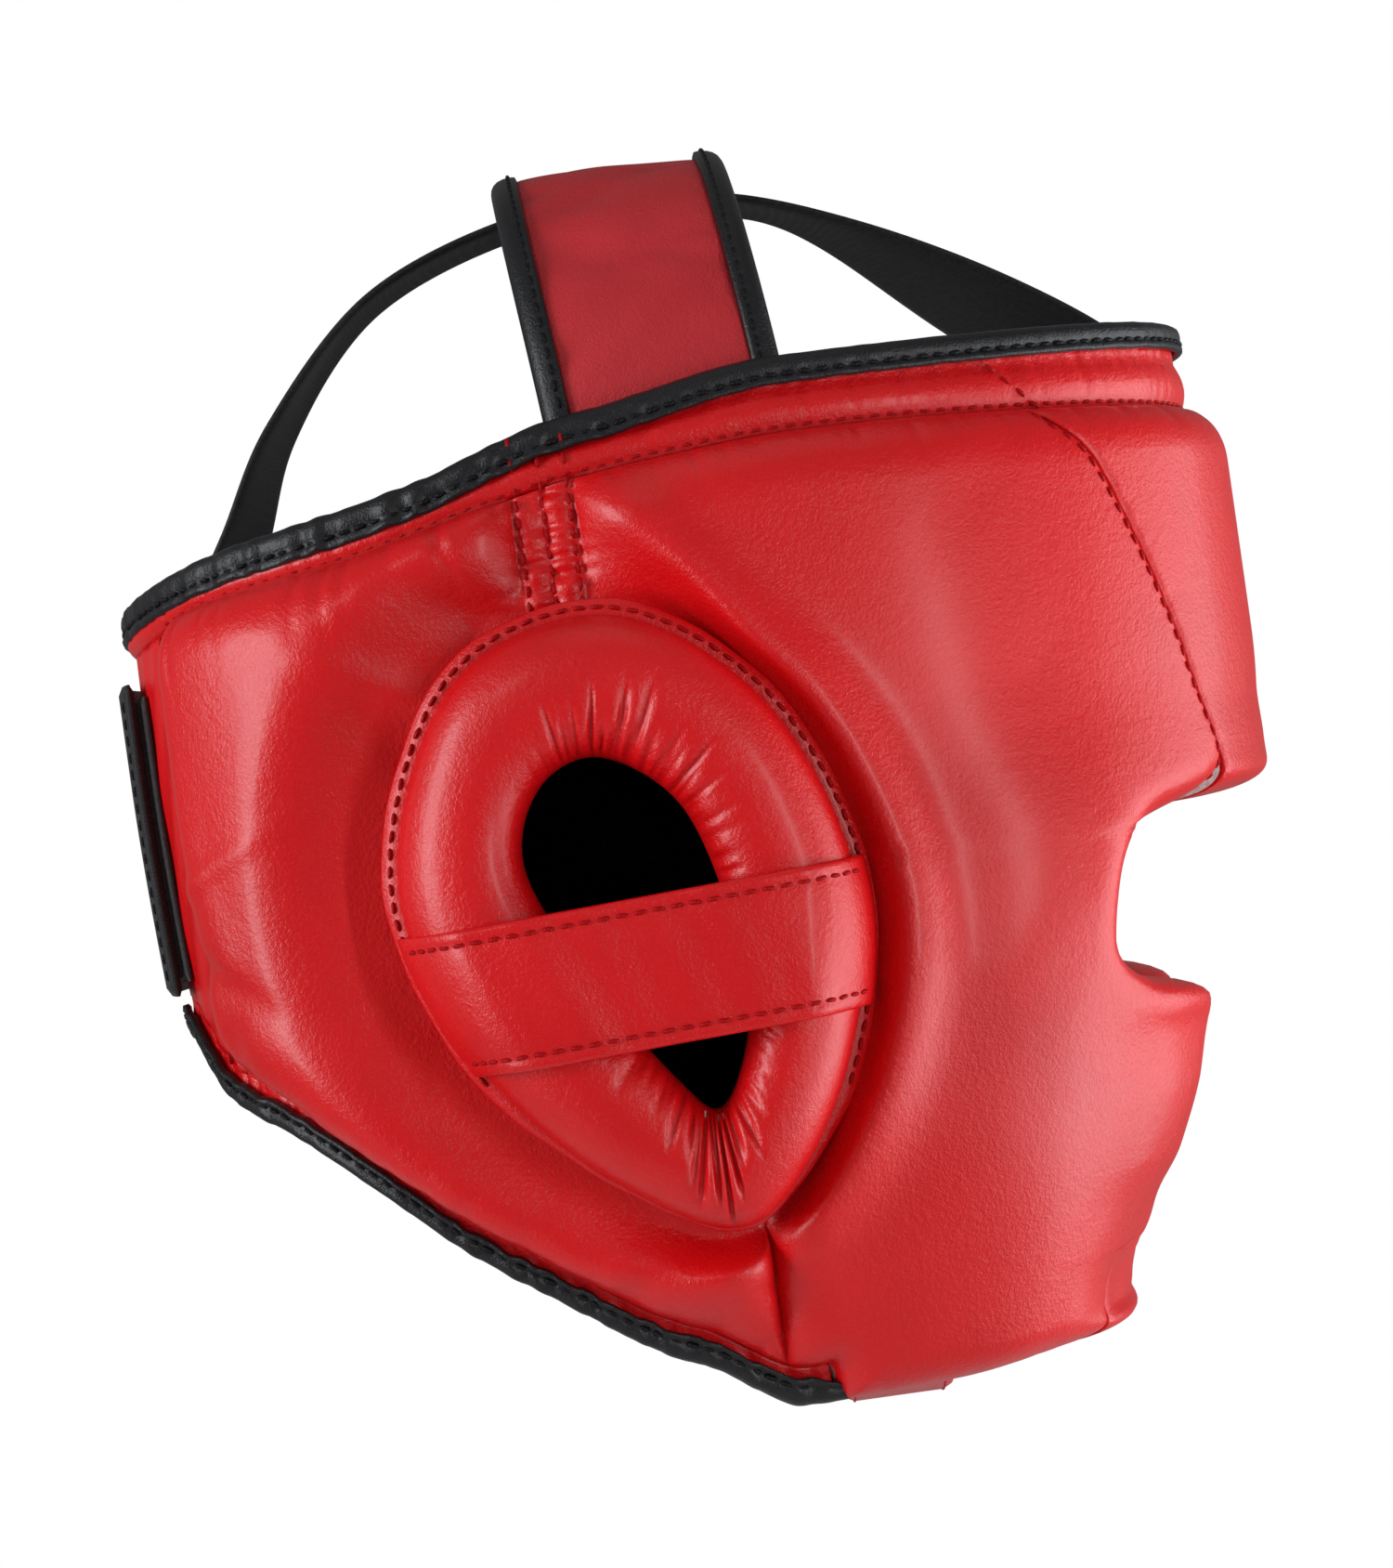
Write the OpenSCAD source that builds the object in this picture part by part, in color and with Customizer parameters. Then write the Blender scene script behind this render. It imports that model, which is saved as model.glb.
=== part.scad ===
// Boxing headgear with cheek pads, ear rings, a crown strap and a rear hook-and-loop closure.
// +Z is up, -Y is where the face looks, and the origin is midway between the two ear holes.
// The shell is described by an angle round the head (0 at the brow, 90 at the wearer's right ear,
// 180 at the back), a height, and a distance outward from the surface where the panels are sewn.

/* [Shell] */
// Half the width of the sewing surface at the ears
shell_half_width = 88; // [82:1:94]
// From the ear axis forward to the sewing surface at the brow
shell_front = 135; // [128:1:142]
// From the ear axis back to the sewing surface at the rear
shell_rear = 105; // [98:1:112]
// How square the shell is seen from above, 2 being an ellipse
squareness = 2.4; // [2.0:0.1:3.0]

/* [Padding] */
// How far the brow pad stands out of the sewing surface
brow_out = 10; // [8:1:16]
// How far the brow pad reaches in towards the head
brow_in = 24; // [16:1:28]
// How far the cheek pads stand out
cheek_out = 14; // [10:1:16]
// How far the padding stands out beside the ears
side_out = 8; // [5:1:10]
// Thickness of the outer cover and of the lining
skin = 1.6; // [1.2:0.2:2.4]

/* [Ears] */
// How far the ear ring stands out of its flange
ear_ring_depth = 16; // [12:1:20]
// Thickness of the flange that the ear ring is sewn to
flange_thick = 2; // [1.5:0.5:3]
// Width of the strap across the ear hole
ear_strap_width = 31; // [24:1:36]

/* [Straps and bindings] */
// Height of a binding on the outside of a rim
binding_height = 8; // [6:0.5:10]
// Thickness of a strap of one layer
strap_thick = 2.6; // [2:0.2:4]
// Width of the padded crown strap between its bindings
crown_width = 42; // [36:1:46]
// Height of the top of the crown strap above the ear axis
crown_top = 168; // [160:1:176]
// Width of the elastic strap
elastic_width = 37; // [25:1:40]
// Height of the rear closure strap
closure_height = 70; // [50:1:72]
// Width of the strap under the chin
chin_strap_width = 24; // [18:1:28]

/* [Hidden] */
NODES = concat(
    ["forehead_cover", "forehead_foam", "forehead_lining", "chin_cover", "chin_foam", "chin_lining",
     "top_band", "top_binding",
     "crown_strap_cover", "crown_strap_foam", "crown_strap_lining",
     "crown_strap_front_binding", "crown_strap_rear_binding", "elastic_strap",
     "closure_strap", "closure_anchor", "closure_hook_patch", "closure_loop_patch",
     "chin_strap", "chin_strap_anchor", "chin_strap_tab", "chin_strap_hook_patch", "chin_strap_loop_patch"],
    [for (side = ["right_", "left_"], piece = ["cheek_cover", "cheek_foam", "cheek_lining",
        "rear_cover", "rear_foam", "rear_lining", "rear_flap", "lower_band", "lower_binding",
        "ear_ring_cover", "ear_ring_foam",
        "ear_flange", "ear_strap", "ear_mesh"]) str(side, piece)]);
node = "all";

RED = "firebrick";
BLACK = "#202020";
FOAM = "gainsboro";
seam_gap = 0.6;       // between panels that are sewn edge to edge
head_gap = 1.6;       // between a pad's upper edge and the top band
layer_gap = 0.2;      // between flat layers that lie on each other
band_half = 1.6;      // half the thickness of an unpadded band
pad_edge = 1.2;       // half the thickness of the foam at a sewn edge
hem = 8.4;            // height of the unpadded hem under the lower binding
hem_start = 76;       // angle where the lower binding starts, behind the cheek
closure_edge = 174;   // angle where each rear flap ends
rear_seam = 150;      // angle of the stitched seam between a rear panel and its flap
side_seam_y = 8;      // where the seam over the ear crosses, behind the ear axis
ear_base = 7;         // how far the flange's back stands out of the sewing surface
flange_edge = 4;      // how far the flange goes past the ear ring's outer edge
ear_slope = 14;       // over what distance the padding rises again beside the flange
crown_lean = 7;       // how far the crown strap leans back over its height

// Outlines, as [height, angle], [angle, height] or [height, y] pairs
rim_line = [[0, 114], [75, 114], [91, 107], [105, 98], [117, 94], [132, 91], [164, 84], [180, 82]];
band_line = [[0, 94], [40, 96], [75, 98], [86, 96], [97, 91], [114, 84], [137, 80], [164, 73], [180, 72]];
lower_line = [[0, -104], [30, -106], [60, -108], [79, -108], [92, -93], [101, -80], [112, -66],
              [124, -50], [137, -37], [152, -28], [165, -15], [180, -12]];
front_line = [[-110, 30], [-87, 30], [-85, 12], [-66, 12], [-40, 11], [-32, 14], [-28, 30], [-24, 38], [-18, 42],
              [-7, 43], [3, 41], [8, 29], [9, 28], [39, 34], [74, 42], [85, 45], [96, 50]];
ear_front_line = [[-110, -17], [-64, -17], [-53, -20], [-38, -28], [-15, -35], [10, -33], [30, -24],
                  [44, -10], [54, 3], [62, side_seam_y], [110, side_seam_y]];
ear_rear_line = [[-110, -17], [-64, -17], [-53, -12], [-38, 5], [-15, 26], [10, 37], [30, 36],
                 [44, 27], [54, 13], [62, side_seam_y], [110, side_seam_y]];
half_width_line = [[-115, 0.77], [-95, 0.85], [-45, 0.98], [9, 1], [45, 1], [115, 0.94]];
front_reach_line = [[-115, 0.59], [-95, 0.65], [-45, 0.785], [9, 0.95], [45, 1], [115, 1]];
rear_reach_line = [[-115, 0.91], [-45, 0.96], [45, 1], [115, 1]];
// Where the padding starts to rise in front of the flange and behind it
shoulder_front_line = [[-74, -17], [-68, -24], [-39, -45], [2, -53], [45, -38], [66, -8], [72, side_seam_y]];
shoulder_rear_line = [[-76, -17], [-70, -10], [-61, 14], [-32, 43], [14, 56], [57, 38], [68, 12], [72, side_seam_y]];
brow_low = 9;         // height of the brow pad's lower edge
chin_high = -88.4;      // height of the chin pad's upper edge

// The ear ring's outer edge and its hole, as [y, z] points joined by a smooth closed curve
ear_outline = [[-2, 64], [-32, 42], [-46, 2], [-38, -37], [-16, -65], [8, -56], [36, -27], [49, 14], [32, 54]];
ear_hole = [[4, 35], [-11, 24], [-18, 3], [-20, -21], [-12, -40], [-3, -33], [12, -9], [22, 14], [17, 30]];
// The elastic strap's outer face from the rear rim to the front rim, as [y, z] points
elastic_route = [[99, 73], [84, 97], [70, 121], [44, 147], [11, 159.6], [-14, 160], [-40, 159], [-69, 149],
                 [-98, 134], [-123, 116], [-129, 104]];

function power(v, p) = sign(v) * pow(abs(v), p);
function rounded(v) = power(v, 2 / squareness);
function mix(a, b, k) = a + (b - a) * k;
function spaced(k) = (1 - cos(180 * k)) / 2;
function dome(k) = pow(max(0, 1 - pow(abs(2 * k - 1), 2.6)), 0.5);
function half_width(z) = shell_half_width * lookup(z, half_width_line);
function front_reach(z) = shell_front * lookup(z, front_reach_line);
function rear_reach(z) = shell_rear * lookup(z, rear_reach_line);
function reach(z, forward) = forward ? front_reach(z) : rear_reach(z);
function shell_point(angle, z, off) = [
    -(half_width(z) + off) * rounded(sin(angle)),
    -(reach(z, cos(angle) > 0) + off) * rounded(cos(angle)), z];
// The angle at which the sewing surface of the right side passes through a given y
function angle_at(y, z) = acos(power(max(-1, min(1, -y / reach(z, y < 0))), squareness / 2));
function side_x(y, z) = shell_point(angle_at(y, z), z, 0)[0];
// A point on the smooth closed curve through the points of a loop, at k of the way round
function loop_point(loop, k) = let (
    n = len(loop), s = k * n, i = floor(s), f = s - i,
    a = loop[(i + n - 1) % n], b = loop[i % n], c = loop[(i + 1) % n], d = loop[(i + 2) % n])
    (2 * b + (c - a) * f + (2 * a - 5 * b + 4 * c - d) * f * f + (3 * b - a - 3 * c + d) * f * f * f) / 2;
// The same for an open route
function route_point(route, k) = let (
    n = len(route) - 1, s = min(k * n, n - 1e-6), i = floor(s), f = s - i,
    a = route[max(i - 1, 0)], b = route[i], c = route[i + 1], d = route[min(i + 2, n)])
    (2 * b + (c - a) * f + (2 * a - 5 * b + 4 * c - d) * f * f + (3 * b - a - 3 * c + d) * f * f * f) / 2;

function out_at(angle, z) = z < -25 && angle < 60 ? cheek_out
    : lookup(angle, [[0, brow_out], [50, brow_out], [75, side_out + 3], [95, side_out], [125, side_out], [150, 5]]);
function in_at(angle, z) = lookup(angle, [[0, brow_in], [40, brow_in - 5], [70, 13], [95, 9], [125, 9], [150, 6]]);

// Two grids of points, outer and inner, joined into a closed solid.
// Columns run from the face to the back of the head and rows run upward.
module slab(outer, inner, columns, rows) {
    n = (columns + 1) * (rows + 1);
    function at(i, j) = j * (columns + 1) + i;
    faces = concat(
        [for (j = [0:rows - 1], i = [0:columns - 1]) each let (
            a = at(i, j), b = at(i + 1, j), c = at(i + 1, j + 1), d = at(i, j + 1))
            [[a, b, c], [a, c, d], [c + n, b + n, a + n], [d + n, c + n, a + n]]],
        [for (i = [0:columns - 1]) each let (a = at(i, 0), b = at(i + 1, 0), c = at(i, rows), d = at(i + 1, rows))
            [[b, a, a + n], [b, a + n, b + n], [c, d, d + n], [c, d + n, c + n]]],
        [for (j = [0:rows - 1]) each let (
            a = at(0, j), b = at(0, j + 1), c = at(columns, j), d = at(columns, j + 1))
            [[a, b, b + n], [a, b + n, a + n], [d, c, c + n], [d, c + n, d + n]]]);
    polyhedron(points = concat(outer, inner), faces = faces, convexity = 6);
}

// One layer of a padded panel: 1 the cover, 0 the foam, -1 the lining.
// place(u, v) gives [angle, height]. swell(u, v, outside) is 0 at a sewn edge and 1 where the pad is full.
module layer(kind, place, swell, columns, rows) {
    grid = [for (j = [0:rows], i = [0:columns]) [spaced(i / columns), spaced(j / rows)]];
    function face(g, side, extra) = let (
        p = place(g[0], g[1]),
        full = side > 0 ? out_at(p[0], p[1]) : in_at(p[0], p[1]),
        off = mix(pad_edge, full - skin, swell(g[0], g[1], side > 0)) + extra)
        shell_point(p[0], p[1], side * off);
    slab([for (g = grid) kind < 0 ? face(g, -1, 0) : face(g, 1, kind * skin)],
         [for (g = grid) kind > 0 ? face(g, 1, 0) : face(g, -1, -kind * skin)], columns, rows);
}

// A flat strip on the shell from one angle to another, between two heights and two distances out
module strip(first, last, low, high, near, far, steps) {
    slab([for (v = [0, 1], i = [0:steps]) let (t = mix(first, last, i / steps))
             shell_point(t, v ? high(t) : low(t), far)],
         [for (v = [0, 1], i = [0:steps]) let (t = mix(first, last, i / steps))
             shell_point(t, v ? high(t) : low(t), near)], steps, 1);
}

// A closed section of points carried along a list of stations
module sweep(rings, caps, closed = false) {
    n = len(rings[0]);
    m = len(rings);
    faces = concat(
        [for (i = [0:m - (closed ? 1 : 2)], k = [0:n - 1]) each let (
            a = i * n + k, b = i * n + (k + 1) % n, c = (i + 1) % m * n + (k + 1) % n, d = (i + 1) % m * n + k)
            [[a, b, c], [a, c, d]]],
        closed ? [] : [for (cap = caps) [for (k = [len(cap) - 1:-1:0]) cap[k]]],
        closed ? [] : [for (cap = caps) [for (k = cap) k + (m - 1) * n]]);
    polyhedron(points = [for (r = rings) each r], faces = faces, convexity = 8);
}

// A section carried all the way round the head
module ring_sweep(section, place) {
    steps = 56;
    sweep([for (i = [0:steps - 1]) [for (p = section) place(mix(-180, 180, i / steps), p)]], [], true);
}

// A binding folded over an edge, as [out, height] points under the edge of an upper rim
binding_half = 3.4;   // half the thickness of a folded binding
binding_slot = 1.9;   // half the width of the slot that holds the band
binding_web = 1.6;    // thickness of the fold itself
binding_section = [
    [binding_half, -binding_height], [binding_half, 0], [-binding_half, 0], [-binding_half, -binding_height],
    [-binding_slot, -binding_height], [-binding_slot, -binding_web],
    [binding_slot, -binding_web], [binding_slot, -binding_height]];

function rim(t) = lookup(abs(t), rim_line);
function low_rim(t) = lookup(abs(t), lower_line);
function band_low(t) = lookup(abs(t), band_line);

// The left side is the right side mirrored
module on_side(side) {
    if (side == "left_") mirror([1, 0, 0]) children();
    else children();
}

// Where the padding starts above the lower rim, and where it ends under the top band
function foot(t) = low_rim(t) + seam_gap + lookup(abs(t), [[hem_start - 8, 0], [hem_start - 3, hem]]);
function head(t) = band_low(t) - head_gap;
// A panel's [angle, height] at (u, v), between two side edges that are functions of height.
// Angle and height depend on each other, so they are found in a few rounds.
function between(first, last, foot, head, u, v, z = 0, rounds = 8) = let (
    t = mix(first(z), last(z), u),
    next = mix(foot(t), head(t), v))
    rounds == 0 ? [t, next] : between(first, last, foot, head, u, v, mix(z, next, 0.8), rounds - 1);
// How far the padding has risen beside the ear, 0 under the flange and 1 clear of it
function beside_ear(p) = let (
    at = shell_point(p[0], p[1], 0),
    ahead = lookup(at[2], shoulder_front_line) - at[1],
    behind = at[1] - lookup(at[2], shoulder_rear_line))
    pow(max(0, min(1, max(ahead, behind) / ear_slope)), 0.6);

// Forehead, from one converging seam to the other
module forehead(kind) {
    edge = function (z) lookup(z, front_line) - seam_gap;
    layer(kind,
        function (u, v) between(function (z) -edge(z), edge, function (t) brow_low, function (t) head(t), u, v),
        function (u, v, outside) dome(v), 12, 8);
}

// Chin pad between the two cheeks
module chin(kind) {
    layer(kind,
        function (u, v) let (t = mix(-28.5, 28.5, u)) [t, mix(foot(t), chin_high, v)],
        function (u, v, outside) 0.8 * dome(v) * dome(u), 10, 6);
}

// Side of the face from the brow seam to the ear, down to the cheek and the lower rim
function cheek_place(u, v) = between(
    function (z) lookup(z, front_line) + 0.5,
    function (z) angle_at(lookup(z, ear_front_line) - seam_gap, z),
    function (t) foot(t), function (t) head(t), u, v);
function cheek_swell(u, v, outside) = let (
    p = cheek_place(u, v),
    seam = max(0, min(1, (p[1] - 12) / 10)))
    dome(v) * mix(dome(u), u < 0.5 ? 1 : dome(u), seam) * (outside ? beside_ear(p) : 1);
module cheek(kind)
    layer(kind, function (u, v) cheek_place(u, v), function (u, v, outside) cheek_swell(u, v, outside), 15, 17);

// Side of the head from the ear back to the rear seam
function rear_place(u, v) = between(
    function (z) angle_at(lookup(z, ear_rear_line) + seam_gap, z),
    function (z) rear_seam,
    function (t) foot(t), function (t) head(t), u, v);
module rear_panel(kind)
    layer(kind, function (u, v) rear_place(u, v),
        function (u, v, outside) dome(v) * dome(u) * (outside ? beside_ear(rear_place(u, v)) : 1), 14, 15);

// Unpadded strips that carry the bindings. The top one goes all the way round.
module top_band() color(RED)
    ring_sweep([[-band_half, 0], [-band_half, 1], [band_half, 1], [band_half, 0]],
               function (t, p) shell_point(t, p[1] > 0 ? rim(t) - 2 : band_low(t), p[0]));
module top_binding() color(BLACK)
    ring_sweep(binding_section, function (t, p) shell_point(-t, rim(t) + p[1], p[0]));
module lower_band() color(RED)
    strip(hem_start, closure_edge, function (t) low_rim(t) + 2, function (t) low_rim(t) + hem,
          -band_half, band_half, 24);
module lower_binding() color(BLACK) {
    steps = 24;
    sweep([for (i = [0:steps]) let (t = mix(hem_start, closure_edge, i / steps))
        [for (p = binding_section) shell_point(t, low_rim(t) - p[1], p[0])]],
        [[0, 1, 6, 7], [1, 2, 5, 6], [2, 3, 4, 5]]);
}

module rear_flap() color(RED)
    strip(rear_seam + 0.8, closure_edge, function (t) low_rim(t) + hem + seam_gap, function (t) band_low(t) - seam_gap,
          -band_half, band_half, 5);

// Ear ring: a soft crowned ring, thicker in its middle than at its two edges
function ear_lift(y, z) = side_x(y, z) - ear_base;
function ring_height(k) = pow(max(0, sin(180 * k)), 0.6);
function ring_point(a, k, depth) = let (
    p = mix(loop_point(ear_outline, a), loop_point(ear_hole, a), (1 - cos(180 * k)) / 2))
    [ear_lift(p[0], p[1]) - flange_thick - depth * ring_height(k), p[0], p[1]];
module ear_ring_cover() color(RED) {
    around = 36;
    across = 8;
    inner_start = 0.17;
    inner_end = 1 - inner_start;
    sweep([for (i = [around:-1:1]) let (a = i / around) concat(
        [for (k = [0:across]) ring_point(a, k / across, ear_ring_depth)],
        [ring_point(a, inner_end, 0)],
        [for (k = [across:-1:0]) ring_point(a, mix(inner_start, inner_end, k / across), ear_ring_depth - skin)],
        [ring_point(a, inner_start, 0)])], [], true);
}
module ear_ring_foam() {
    around = 36;
    across = 6;
    foam_start = 0.2;
    off_flange = 0.3;
    function inset(a, k, depth) = ring_point(a, mix(foam_start, 1 - foam_start, k / across), depth);
    color(FOAM) sweep([for (i = [around:-1:1]) let (a = i / around) concat(
        [for (k = [0:across]) inset(a, k, ear_ring_depth - 2 * skin)],
        [for (k = [across:-1:0]) inset(a, k, 0) - [off_flange, 0, 0]])], [], true);
}
function ear_edge(a, grow) = let (
    p = loop_point(ear_outline, a), q = loop_point(ear_hole, a))
    p + grow * (p - q) / norm(p - q);
module ear_flange() color(RED) {
    around = 36;
    sweep([for (i = [around:-1:1]) let (o = ear_edge(i / around, flange_edge), h = loop_point(ear_hole, i / around))
        [[ear_lift(o[0], o[1]) - flange_thick, o[0], o[1]], [ear_lift(h[0], h[1]) - flange_thick, h[0], h[1]],
         [ear_lift(h[0], h[1]), h[0], h[1]], [ear_lift(o[0], o[1]), o[0], o[1]]]], [], true);
}
module ear_mesh() color(BLACK) {
    mesh_thick = 1;
    outline = [for (i = [0:23]) let (p = loop_point(ear_hole, i / 24), c = [1, 0]) c + (p - c) * 1.15];
    behind_flange = 2.6;
    translate([ear_lift(0, 0) + behind_flange, 0, 0]) rotate([90, 0, 90]) linear_extrude(mesh_thick) polygon(outline);
}

// Flat strap over the ear ring, its two ends turned down over the ring's outer edge
module ear_strap() {
    rear_end = [45, -12];
    front_end = [-45, -8];
    steps = 16;
    along = front_end - rear_end;
    unit = along / norm(along);
    up = [unit[1], -unit[0]];
    turn = 0.16;
    function profile(k) = let (e = min(k, 1 - k) / turn) e >= 1 ? 1 : pow(sin(90 * e), 0.6);
    function station(k) = let (
        p = rear_end - 4 * unit + k * (along + 8 * unit),
        x = ear_lift(p[0], p[1]) - flange_thick - 1.6 - (ear_ring_depth + 0.8) * profile(k))
        [for (c = [[0, 1], [0, -1], [strap_thick, -1], [strap_thick, 1]])
            let (q = p + up * c[1] * ear_strap_width / 2) [x - c[0], q[0], q[1]]];
    color(RED) sweep([for (i = [0:steps]) station(spaced(i / steps))], [[0, 1, 2, 3]]);
}

// Crown strap: an arch from one side of the rim to the other, leaning back
crown_foot = 100;                      // height where the arch starts, inside the rim
crown_half_span = 76;                  // half the width of the arch at its outer face
crown_middle = -21;                    // y of the strap's centre at the rim
crown_foam = 2.4;                      // thickness of its foam
crown_stack = skin * 2 + crown_foam;   // thickness of cover, foam and lining together
crown_binding_width = 5;
crown_edge = crown_width / 2;
crown_panel_edge = crown_edge - seam_gap / 2;
function crown_station(a, depth, across) = [
    -(crown_half_span - depth) * power(cos(a), 0.9),
    crown_middle + crown_lean * sin(a) + across,
    crown_foot + (crown_top - crown_foot - depth) * power(sin(a), 0.9)];
module crown_layer(near, far, front, rear, steps = 24) {
    sweep([for (i = [0:steps]) let (a = 180 * i / steps)
        [crown_station(a, near, front), crown_station(a, near, rear),
         crown_station(a, far, rear), crown_station(a, far, front)]], [[0, 1, 2, 3]]);
}
module crown_panel(near, far) crown_layer(near, far, -crown_panel_edge, crown_panel_edge);
module crown_strap_cover() color(RED) crown_panel(0, skin);
module crown_strap_foam() color(FOAM) crown_panel(skin, crown_stack - skin);
module crown_strap_lining() color(BLACK) crown_panel(crown_stack - skin, crown_stack);
module crown_binding(front, rear) crown_layer(-0.6, crown_stack + 0.6, front, rear);
module crown_strap_front_binding() color(BLACK) crown_binding(-crown_edge - crown_binding_width, -crown_edge);
module crown_strap_rear_binding() color(BLACK) crown_binding(crown_edge, crown_edge + crown_binding_width);

// Elastic strap from the rear rim over the crown, under the crown strap, to the brow
module elastic_strap() {
    steps = 28;
    function station(k) = let (
        p = route_point(elastic_route, k),
        d = route_point(elastic_route, k + 0.01) - route_point(elastic_route, k - 0.01),
        n = [-d[1], d[0]] / norm(d),
        q = p + n * strap_thick)
        [[-elastic_width / 2, p[0], p[1]], [elastic_width / 2, p[0], p[1]],
         [elastic_width / 2, q[0], q[1]], [-elastic_width / 2, q[0], q[1]]];
    color(BLACK) sweep([for (i = [0:steps]) station(mix(0.01, 0.98, i / steps))], [[0, 1, 2, 3]]);
}

// Rear closure: the strap is sewn to the left flap and its free end fastens on the right one.
// From the flap outward: loop patch, hook patch, strap.
closure_middle = 31;                   // height of the strap's centre line
closure_free = 163;                    // angle of the free end
closure_hinge = 203;                   // angle of the sewn end, counted on past the back
patch_thick = 1.4;
loop_near = band_half + layer_gap;
hook_near = loop_near + patch_thick + layer_gap;
closure_near = hook_near + patch_thick + 1.5 * layer_gap;
module closure_strip(first, last, near, thick, half, steps) {
    strip(first, last, function (t) closure_middle - half, function (t) closure_middle + half,
        near, near + thick, steps);
}
module closure_strap() color(BLACK)
    closure_strip(closure_free, closure_hinge, closure_near, strap_thick, closure_height / 2, 20);
module closure_anchor() color(BLACK)
    closure_strip(closure_hinge + 0.4, closure_hinge + 5, loop_near, closure_near - loop_near + strap_thick,
        closure_height / 2, 4);
module closure_hook_patch() color(BLACK)
    closure_strip(closure_free + 0.6, closure_edge, hook_near, patch_thick, closure_height / 2 - 4, 6);
module closure_loop_patch() color(BLACK)
    closure_strip(closure_free - 0.6, closure_edge - 0.6, loop_near, patch_thick, closure_height / 2 - 3, 6);

// Strap under the chin, sewn at the left and fastened at the right. It hangs in a shallow arc.
// From above: tab, loop patch, hook patch, strap.
chin_strap_y = -40;                    // y of its centre line
chin_strap_end = -103;                 // height of the loop patch's upper face at the two sides
chin_strap_sag = 9;                    // how much lower its middle hangs
chin_strap_reach = 49;                 // how far it goes to each side
chin_strap_near = 2 * patch_thick + 2 * layer_gap;
chin_strap_far = chin_strap_near + strap_thick;
module chin_arc(from, to, near, far, half) {
    steps = max(4, round((to - from) / 8));
    height = function (x) chin_strap_end - chin_strap_sag * (1 - pow(x / chin_strap_reach, 2));
    sweep([for (i = [0:steps]) let (x = mix(from, to, i / steps))
        [[x, chin_strap_y - half, height(x) - near], [x, chin_strap_y + half, height(x) - near],
         [x, chin_strap_y + half, height(x) - far], [x, chin_strap_y - half, height(x) - far]]], [[0, 1, 2, 3]]);
}
module chin_strap() color(RED)
    chin_arc(-chin_strap_reach, chin_strap_reach, chin_strap_near, chin_strap_far, chin_strap_width / 2);
module chin_strap_hook_patch() color(BLACK)
    chin_arc(-chin_strap_reach + 3, -chin_strap_reach + 33, patch_thick + layer_gap, chin_strap_near - layer_gap,
        chin_strap_width / 2 - 2);
module chin_strap_loop_patch() color(BLACK)
    chin_arc(-chin_strap_reach + 1, -chin_strap_reach + 35, 0, patch_thick, chin_strap_width / 2 - 1);
module chin_strap_tab() color(RED)
    chin_arc(-chin_strap_reach - 3, -chin_strap_reach + 37, -2.2, -layer_gap, chin_strap_width / 2);
module chin_strap_anchor() color(RED)
    chin_arc(chin_strap_reach + 0.4, chin_strap_reach + 3, 0, chin_strap_far, chin_strap_width / 2);

function wanted(name) = node == "all" || node == name;

module forehead_cover() color(RED) forehead(1);
module forehead_foam() color(FOAM) forehead(0);
module forehead_lining() color(BLACK) forehead(-1);
module chin_cover() color(RED) chin(1);
module chin_foam() color(FOAM) chin(0);
module chin_lining() color(BLACK) chin(-1);
module cheek_cover() color(RED) cheek(1);
module cheek_foam() color(FOAM) cheek(0);
module cheek_lining() color(BLACK) cheek(-1);
module rear_cover() color(RED) rear_panel(1);
module rear_foam() color(FOAM) rear_panel(0);
module rear_lining() color(BLACK) rear_panel(-1);

if (wanted("forehead_cover")) forehead_cover();
if (wanted("forehead_foam")) forehead_foam();
if (wanted("forehead_lining")) forehead_lining();
if (wanted("chin_cover")) chin_cover();
if (wanted("chin_foam")) chin_foam();
if (wanted("chin_lining")) chin_lining();
if (wanted("top_band")) top_band();
if (wanted("top_binding")) top_binding();
if (wanted("crown_strap_cover")) crown_strap_cover();
if (wanted("crown_strap_foam")) crown_strap_foam();
if (wanted("crown_strap_lining")) crown_strap_lining();
if (wanted("crown_strap_front_binding")) crown_strap_front_binding();
if (wanted("crown_strap_rear_binding")) crown_strap_rear_binding();
if (wanted("elastic_strap")) elastic_strap();
if (wanted("closure_strap")) closure_strap();
if (wanted("closure_anchor")) closure_anchor();
if (wanted("closure_hook_patch")) closure_hook_patch();
if (wanted("closure_loop_patch")) closure_loop_patch();
if (wanted("chin_strap")) chin_strap();
if (wanted("chin_strap_hook_patch")) chin_strap_hook_patch();
if (wanted("chin_strap_loop_patch")) chin_strap_loop_patch();
if (wanted("chin_strap_anchor")) chin_strap_anchor();
if (wanted("chin_strap_tab")) chin_strap_tab();
for (side = ["right_", "left_"]) {
    if (wanted(str(side, "cheek_cover"))) on_side(side) cheek_cover();
    if (wanted(str(side, "cheek_foam"))) on_side(side) cheek_foam();
    if (wanted(str(side, "cheek_lining"))) on_side(side) cheek_lining();
    if (wanted(str(side, "rear_cover"))) on_side(side) rear_cover();
    if (wanted(str(side, "rear_foam"))) on_side(side) rear_foam();
    if (wanted(str(side, "rear_lining"))) on_side(side) rear_lining();
    if (wanted(str(side, "rear_flap"))) on_side(side) rear_flap();
    if (wanted(str(side, "lower_band"))) on_side(side) lower_band();
    if (wanted(str(side, "lower_binding"))) on_side(side) lower_binding();
    if (wanted(str(side, "ear_ring_cover"))) on_side(side) ear_ring_cover();
    if (wanted(str(side, "ear_ring_foam"))) on_side(side) ear_ring_foam();
    if (wanted(str(side, "ear_flange"))) on_side(side) ear_flange();
    if (wanted(str(side, "ear_strap"))) on_side(side) ear_strap();
    if (wanted(str(side, "ear_mesh"))) on_side(side) ear_mesh();
}
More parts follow.
